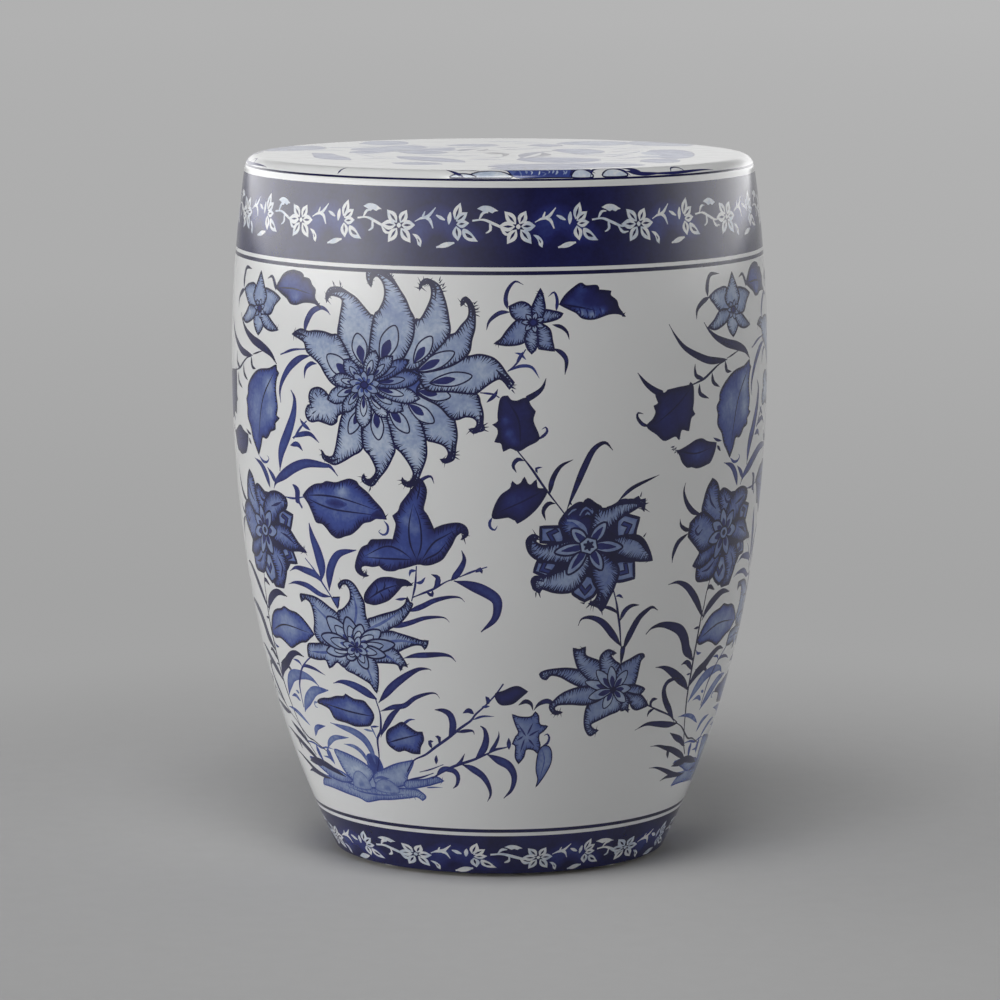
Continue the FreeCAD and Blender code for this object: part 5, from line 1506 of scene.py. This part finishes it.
# ---------------------------------------------------------------- materials
class Nodes:
    """Short ways to add nodes to a tree and to wire them."""

    def __init__(self, tree):
        self.tree = tree
        self.where = tree.nodes.new("ShaderNodeTexCoord").outputs

    def feed(self, made, inputs):
        """Gives each input a fixed value, or a link from another node's output."""
        for key, value in inputs.items():
            if isinstance(value, bpy.types.NodeSocket):
                self.tree.links.new(value, made.inputs[key])
            else:
                made.inputs[key].default_value = value

    def add(self, kind, inputs, output, **settings):
        made = self.tree.nodes.new("ShaderNode" + kind)
        for key, value in settings.items():
            setattr(made, key, value)
        self.feed(made, inputs)
        return made.outputs[output]

    def math(self, operation, a, b, clamp=False):
        return self.add("Math", {0: a, 1: b}, 0, operation=operation, use_clamp=clamp)

    def plus(self, a, b, clamp=False):
        return self.math("ADD", a, b, clamp)

    def minus(self, a, b):
        return self.math("SUBTRACT", a, b)

    def times(self, a, b):
        return self.math("MULTIPLY", a, b)

    def noise(self, scale, detail, rough=0.5):
        return self.add("TexNoise", {"Vector": self.where["Object"], "Scale": scale,
            "Detail": detail, "Roughness": rough}, "Fac")

    def bump(self, height, strength, distance):
        return self.add("Bump", {"Height": height, "Strength": strength, "Distance": distance},
            "Normal")

    def parts(self, vector):
        made = self.tree.nodes.new("ShaderNodeSeparateXYZ")
        self.feed(made, {"Vector": vector})
        return made.outputs

    def smooth_range(self, value, limits):
        """Rises softly from 0 to 1 while the value goes from one limit to the other."""
        low, high = limits
        return self.add("MapRange", {"From Min": low, "From Max": high, "Value": value}, "Result",
            interpolation_type="SMOOTHSTEP")

    def ramp(self, value, stops):
        """The colours at the stops and between them. A plain number is a grey."""
        made = self.tree.nodes.new("ShaderNodeValToRGB")
        self.feed(made, {"Fac": value})
        line = made.color_ramp
        line.interpolation = "LINEAR"
        while len(line.elements) < len(stops):
            line.elements.new(0.5)
        for element, (at, colour) in zip(line.elements, stops):
            element.position = at
            element.color = (*colour, 1) if isinstance(colour, tuple) else (colour,) * 3 + (1,)
        return made.outputs["Color"]


def material(name):
    """A new material, its nodes, and the shader whose inputs make its look."""
    made = bpy.data.materials.new(name)
    made.use_nodes = True
    return made, Nodes(made.node_tree), made.node_tree.nodes["Principled BSDF"]


WHITE_GLAZE = (0.76, 0.765, 0.765)
# From bare glaze over white clay to the thickest cobalt.
COBALT = [(0.00, WHITE_GLAZE), (0.12, (0.56, 0.62, 0.71)), (0.30, (0.29, 0.36, 0.53)),
    (0.48, (0.135, 0.185, 0.39)), (0.62, (0.042, 0.070, 0.28)), (0.80, (0.016, 0.019, 0.125)),
    (0.93, (0.009, 0.009, 0.055)), (1.00, (0.006, 0.006, 0.028)),]
FIRED_CLAY = [(0.25, (0.62, 0.56, 0.47)), (0.5, (0.74, 0.69, 0.60)), (0.75, (0.82, 0.78, 0.70))]
RUBBER = [(0.3, (0.60, 0.60, 0.57)), (0.7, (0.70, 0.70, 0.67))]
GLAZE_IOR = 1.52


def printed_glaze():
    """Clear gloss over white clay, with cobalt where the mesh says that it was painted."""
    look, nodes, shader = material("printed_glaze")
    ink = nodes.add("VertexColor", {}, "Color", layer_name="print")
    tone = nodes.add("SeparateColor", {"Color": ink}, "Red")
    # The brushed colour gathers in soft pools and runs thin between them.
    pools = nodes.times(nodes.minus(nodes.noise(55, 3), 0.5), 0.48)
    grain = nodes.times(nodes.minus(nodes.noise(420, 2), 0.5), 0.22)
    is_painted = nodes.math("GREATER_THAN", tone, 0.01)
    blotch = nodes.times(nodes.plus(pools, grain), is_painted)
    blotch = nodes.times(blotch, nodes.minus(1.25, tone))
    # The surface ripples slowly and has a fine orange-peel skin.
    height = nodes.plus(nodes.noise(14, 1), nodes.times(nodes.noise(260, 2), 0.02))
    nodes.feed(shader, {"Base Color": nodes.ramp(nodes.plus(tone, blotch, True), COBALT),
        "Normal": nodes.bump(height, 0.10, 0.0012), "Roughness": nodes.plus(
        nodes.times(nodes.noise(90, 3), 0.10), 0.10), "IOR": GLAZE_IOR})
    return look


def fired_clay():
    """Bare clay, mottled and rough."""
    look, nodes, shader = material("fired_clay_body")
    mottle = nodes.plus(nodes.times(nodes.noise(35, 4), 0.7), nodes.times(nodes.noise(900, 2), 0.3))
    nodes.feed(shader, {"Base Color": nodes.ramp(mottle, FIRED_CLAY), "Normal": nodes.bump(
        nodes.noise(700, 5, 0.65), 0.35, 0.0006),
        "Roughness": nodes.plus(nodes.times(mottle, 0.2), 0.7)})
    return look


def bumper_rubber():
    """Soft, slightly cloudy grey rubber."""
    look, nodes, shader = material("bumper_rubber_soft")
    cloudy = nodes.noise(300, 3)
    nodes.feed(shader, {"Base Color": nodes.ramp(cloudy, RUBBER),
        "Normal": nodes.bump(nodes.noise(2500, 2), 0.2, 0.0002),
        "Roughness": nodes.plus(nodes.times(cloudy, 0.15), 0.45)})
    return look


# ---------------------------------------------------------------- the pieces
EDGE_PITCH = 3.0  # of the runs in a sheet's outline
STRIP_PITCH = 0.8  # of a strip's levels
STRIP_RUNS = 360
SEAT_RUNS = 320
RIM_LINES = 8  # rings that keep the seat piece round where it turns down over the rim


def dress(piece, node_name, look):
    """Gives a piece its material and puts it in the place of a CAD node."""
    piece.data.materials.append(look)
    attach(piece, "root")
    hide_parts(node_name)


def height_range(node_name):
    """The lowest and highest millimetre of a CAD node."""
    low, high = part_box(node_name)
    return low[2] * 1000, high[2] * 1000


def circle(count):
    turn = np.arange(count) * 2 * math.pi / count
    return np.cos(turn), np.sin(turn)


def box_edge(x0, x1, y0, y1):
    """The outline of a rectangle on the chart, in short runs."""
    across = max(2, int(round((x1 - x0) / EDGE_PITCH)))
    up = max(2, int(round((y1 - y0) / EDGE_PITCH)))
    x, y = np.linspace(x0, x1, across + 1), np.linspace(y0, y1, up + 1)
    sides = ((x[:-1], y0), (x1, y[:-1]), (x[:0:-1], y1), (x0, y[:0:-1]))
    return np.concatenate([np.stack(np.broadcast_arrays(*side), 1) for side in sides])


def placed(shapes, x0, x1, period):
    """The shapes that reach into x0..x1, repeated at the period."""
    out = []
    for loops, tone, rim, reach, glow in shapes:
        low = min(l[:, 0].min() for l in loops)
        high = max(l[:, 0].max() for l in loops)
        first = math.ceil((x0 - high) / period)
        for k in range(first, int(math.floor((x1 - low) / period)) + 1):
            move = np.array([k * period, 0.0])
            out.append(([l + move for l in loops], tone, rim, reach,
                tuple((gx + k * period, gy, r, a) for gx, gy, r, a in glow)))
    return out


def strip(name, node_name, tone, look):
    """A narrow ring of one colour: a closed band turned round the axis."""
    low, high = height_range(node_name)
    levels = np.linspace(low, high, max(2, int(round((high - low) / STRIP_PITCH))) + 1)
    place, normal = wall(np.zeros(len(levels)), levels)
    section = np.concatenate([place, (place - GLAZE * normal)[::-1]])
    outs = np.concatenate([normal, -normal[::-1]])
    m = len(section)
    top, bottom = len(levels) - 1, m - 1  # the narrow faces above and below
    c, s = circle(STRIP_RUNS)

    def turned(points):
        """From the front, where x is 0 and y less than 0, round to the right."""
        x, y = -points[:, 1][None] * s[:, None], points[:, 1][None] * c[:, None]
        return np.stack([x, y, np.broadcast_to(points[:, 2], x.shape)], 2)

    round_normals = turned(outs)
    faces, normals = [], []
    for i in range(STRIP_RUNS):
        j = (i + 1) % STRIP_RUNS
        for a in range(m):
            b = (a + 1) % m
            faces.append((i * m + a, j * m + a, j * m + b, i * m + b))
            if a in (top, bottom):
                normals += [(0, 0, 1.0 if a == top else -1.0)] * 4
            else:
                normals += [round_normals[t, q] for t, q in ((i, a), (j, a), (j, b), (i, b))]
    piece = printed_piece(name, turned(section).reshape(-1, 3), faces, normals,
        np.full(len(faces) * 4, tone))
    dress(piece, node_name, look)


def sheets(names, node_name, shapes, ground, look, splits, period, pitch, fine):
    """The zone of the wall at a node, cut at the chart distances splits into one piece each.
    A ground is the tone that a band is painted with under its pattern."""
    low, high = height_range(node_name)
    for name, x0, x1 in zip(names, splits, splits[1:]):
        edge = box_edge(x0, x1, low, high)
        here = [([edge], ground, None, 1, ())] + placed(shapes, x0, x1, period)
        dress(shell(name, wall, *cut(edge, here, pitch, fine)), node_name, look)


def body_sheets(names, shapes, look, splits, period, pitch, fine):
    """The three printed sheets of the body, which are alike."""
    low, high = height_range("body_glaze")
    edge = box_edge(splits[0], splits[1], low, high)
    verts, faces, tones = cut(edge, placed(shapes, splits[0], splits[1], period), pitch, fine)
    for name, start in zip(names, splits):
        moved = verts + np.array([start - splits[0], 0.0])
        dress(shell(name, wall, moved, faces, tones), "body_glaze", look)


def seat_piece(shapes, look, pitch, fine):
    """The seat's glaze in one piece, down to where the rim line starts."""
    low, _ = height_range("seat_glaze")
    arc = RIM_RADIUS * math.acos(1 - (HEIGHT - low) / RIM_RADIUS)
    ring = np.stack(circle(SEAT_RUNS), 1)
    radii = SEAT_RADIUS + np.linspace(0, arc, RIM_LINES + 1)[:-1]
    lines = [([ring * r], BARE, None, 1, ()) for r in radii[::-1]]
    printed = cut(ring * (SEAT_RADIUS + arc), lines + shapes, pitch, fine)
    dress(shell("seat_top_print", seat, *printed), "seat_glaze", look)


# ---------------------------------------------------------------- the scene
# Places and distances are metres here.
CAMERA_PLACE = (0, -3.0817, 0.6608)
CAMERA_DIP = 7.973  # degrees below the horizon
CAMERA_LENS, CAMERA_SENSOR = 170.34, 36.0  # millimetres
CAMERA_SHIFT = 0.0005
CAMERA_GREY = 0.43  # what the camera sees past the end of the floor
LAMP_PLACE = (-0.2, -1.1, 2.75)
LAMP_TARGET = (0, 0, 0.35)
LAMP_SIDE = 1.2
LAMP_POWER = 30


def add_object(name, data):
    made = bpy.data.objects.new(name, data)
    bpy.context.scene.collection.objects.link(made)
    return made


def lamp():
    """A square box of light above and in front of the stool."""
    data = bpy.data.lights.new("front_box", "AREA")
    data.shape = "RECTANGLE"
    data.size = data.size_y = LAMP_SIDE
    data.energy = LAMP_POWER
    made = add_object("front_box", data)
    made.location = LAMP_PLACE
    aim = Vector(LAMP_TARGET) - Vector(LAMP_PLACE)
    made.rotation_euler = aim.to_track_quat("-Z", "Y").to_euler()


def camera():
    data = bpy.data.cameras.new("camera")
    data.sensor_width = CAMERA_SENSOR
    data.lens = CAMERA_LENS
    data.shift_x = CAMERA_SHIFT
    data.clip_end = 50
    made = add_object("camera", data)
    made.location = CAMERA_PLACE
    made.rotation_euler = (math.radians(90 - CAMERA_DIP), 0, 0)
    bpy.context.scene.camera = made


FLOOR_REACH = 30.0
FLOOR_PAPER = 0.56
FLOOR_FIBRE = 0.03  # how much the paper's lightness varies
# Painted light falloff on the floor: how brightly it glows for the camera away from the stool, at
# these distances behind it in metres. It is darker towards the viewer and lighter far behind.
FLOOR_PAINTED_FALLOFF = [(-0.9, 0.29), (-0.4, 0.318), (-0.25, 0.34), (0.0, 0.366), (1.0, 0.368), (2.5, 0.397),
    (4.0, 0.422), (14.0, 0.455)]
FLOOR_CLEAR = (0.28, 0.80)  # how far from the axis the paper, which keeps the stool's real shadow, gives way to the painted glow
HORIZON = (3.0, 16.0)  # over which distance to the sides and front it takes on the camera's grey


def backdrop():
    """A plain pale floor that runs back past the top of the picture. It is paper-like near the
    stool, whose shadow it keeps, and passes into a painted glow for the camera and for reflections.
    The glow has painted light falloff: darker towards the viewer, lighter behind the stool and a
    little to the right."""
    look, nodes, paper = material("studio_floor_paper")
    x, y, _ = nodes.parts(nodes.where["Object"])
    fibre = nodes.plus(nodes.times(nodes.noise(60, 3), FLOOR_FIBRE), FLOOR_PAPER - FLOOR_FIBRE / 2)
    nodes.feed(paper, {"Base Color": nodes.ramp(fibre, [(0.0, 0.0), (1.0, 1.0)]), "Roughness": 0.9,
        "Specular IOR Level": 0.0})
    # the painted light falloff: a glow that is lighter with the distance behind the stool and a
    # little to the right, and darker towards the viewer
    near, far = FLOOR_PAINTED_FALLOFF[0][0], FLOOR_PAINTED_FALLOFF[-1][0]
    depth = nodes.math("DIVIDE", nodes.minus(y, near), far - near)
    painted_falloff = nodes.ramp(depth, [((at - near) / (far - near), tone) for at, tone in FLOOR_PAINTED_FALLOFF])
    side = nodes.plus(nodes.times(x, 0.02), 1.0)
    side = nodes.math("MAXIMUM", nodes.math("MINIMUM", side, 1.2), 0.8)
    wide = nodes.math("MAXIMUM", nodes.math("ABSOLUTE", x, 0.0), nodes.times(y, -1.0))
    tone = nodes.add("Mix", {"Factor": nodes.smooth_range(wide, HORIZON),
        "A": nodes.times(painted_falloff, side), "B": CAMERA_GREY}, "Result")
    # painted light: the floor glows with this falloff wherever the camera and reflections see it
    painted_glow = nodes.add("Emission", {"Color": (1, 1, 1, 1), "Strength": tone}, "Emission")
    # which of the two shows
    away = nodes.add("VectorMath", {0: nodes.where["Object"]}, "Value", operation="LENGTH")
    path = nodes.tree.nodes.new("ShaderNodeLightPath").outputs
    seen = nodes.plus(path["Is Camera Ray"], path["Is Glossy Ray"], True)
    share = nodes.times(seen, nodes.smooth_range(away, FLOOR_CLEAR))
    both = nodes.add("MixShader", {0: share, 1: paper.outputs["BSDF"], 2: painted_glow}, "Shader")
    nodes.feed(nodes.tree.nodes["Material Output"], {"Surface": both})

    mesh = bpy.data.meshes.new("studio_floor")
    corners = [(i * FLOOR_REACH, j * FLOOR_REACH, 0) for i,
        j in ((-1, -1), (1, -1), (1, 1), (-1, 1))]
    mesh.from_pydata(corners, [], [(0, 1, 2, 3)])
    mesh.materials.append(look)
    made = add_object("studio_floor", mesh)


# How bright the studio is round the stool just above the floor: degrees from the viewer's
# side, positive to the right, and the strength. A broad box on the left, a second one
# behind on the right, and a dark viewer's side.
ROUND_LIGHT = [(-180, 0.74), (-162, 1.5), (-144, 2.6), (-118, 3.7), (-92, 4.6), (-66, 5.0),
    (-50, 3.6), (-36, 2.0), (-14, 0.9), (0, 0.4), (14, 0.1), (40, 0.1), (54, 0.2), (66, 0.5),
    (80, 1.1), (92, 2.0), (106, 2.5), (132, 3.1), (146, 3.0), (162, 1.7), (180, 0.74)]
PEAK_LIGHT = 5.0
# The share of that strength at rising heights (sine of the elevation), and the even light
# from above that is added to it.
BOX_SHARE = [(0.0, 1.0), (0.19, 1.0), (0.26, 0.5), (0.41, 0.0)]
ABOVE_LIGHT = [(0.30, 0.0), (0.60, 0.022), (1.0, 0.022)]


def lights():
    """A world whose light comes from the two boxes round the stool, and a lamp above it."""
    world = bpy.data.worlds.new("studio")
    bpy.context.scene.world = world
    world.use_nodes = True
    nodes = Nodes(world.node_tree)
    x, y, z = nodes.parts(nodes.where["Generated"])
    turn = nodes.math("ARCTAN2", x, nodes.times(y, -1.0))
    turn = nodes.plus(nodes.math("DIVIDE", turn, 2 * math.pi), 0.5)
    ring = nodes.ramp(turn, [(a / 360 + 0.5, s / PEAK_LIGHT) for a, s in ROUND_LIGHT])
    light = nodes.plus(nodes.times(ring, nodes.ramp(z, BOX_SHARE)), nodes.ramp(z, ABOVE_LIGHT))
    path = nodes.tree.nodes.new("ShaderNodeLightPath").outputs
    strength = nodes.add("Mix", {"Factor": path["Is Camera Ray"],
        "A": nodes.times(light, PEAK_LIGHT), "B": CAMERA_GREY}, "Result")
    nodes.feed(nodes.tree.nodes["Background"], {"Color": (1, 1, 1, 1), "Strength": strength})
    lamp()


def paint(node_name, look):
    """Gives a CAD node, whose shape stays, its material."""
    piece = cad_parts[node_name]
    if not piece.material_slots:
        piece.data.materials.append(look)
    for slot in piece.material_slots:
        slot.material = look


# ---------------------------------------------------------------- the stool
glaze = printed_glaze()
clay = fired_clay()
rubber = bumper_rubber()
for name in ("seat_slab", "upper_wall", "lower_wall", "foot_ring", "base_floor", "seat_coil",
        "seam_coil", "floor_coil"):
    paint(name, clay)
for number in range(1, 5):
    paint("floor_bumper_%d" % number, rubber)

# Each piece's two pitches are those of its plain corners and of the ones in a wash.
EDGES = [SHEET * (k - 0.5) for k in range(REPEATS + 1)]
SIDES = ("front", "right", "left")
body_sheets(["body_sheet_" + s for s in SIDES], body_print(), glaze, EDGES, SHEET, 5.8, 2.3)
for band, garlands in (("upper_band", upper_garland()), ("lower_band", lower_garland())):
    sheets([band + "_" + s for s in SIDES], band, garlands, GROUND, glaze, EDGES,
        ROUND, 5.0, 2.5)
seat_piece(seat_print(), glaze, 5.0, 2.2)
for name, slot, tone in (("rim_stripe", "white_glaze", BARE), ("rim_line", "cobalt_glaze", LINE),
        ("upper_white_ring", "white_glaze", BARE), ("upper_blue_ring", "cobalt_glaze", LINE),
        ("lower_blue_ring", "cobalt_glaze", LINE), ("lower_white_ring", "white_glaze", BARE)):
    strip(name + "_glazed", name, tone, glaze)

camera()
backdrop()
lights()
bpy.context.scene.view_settings.view_transform = "Standard"
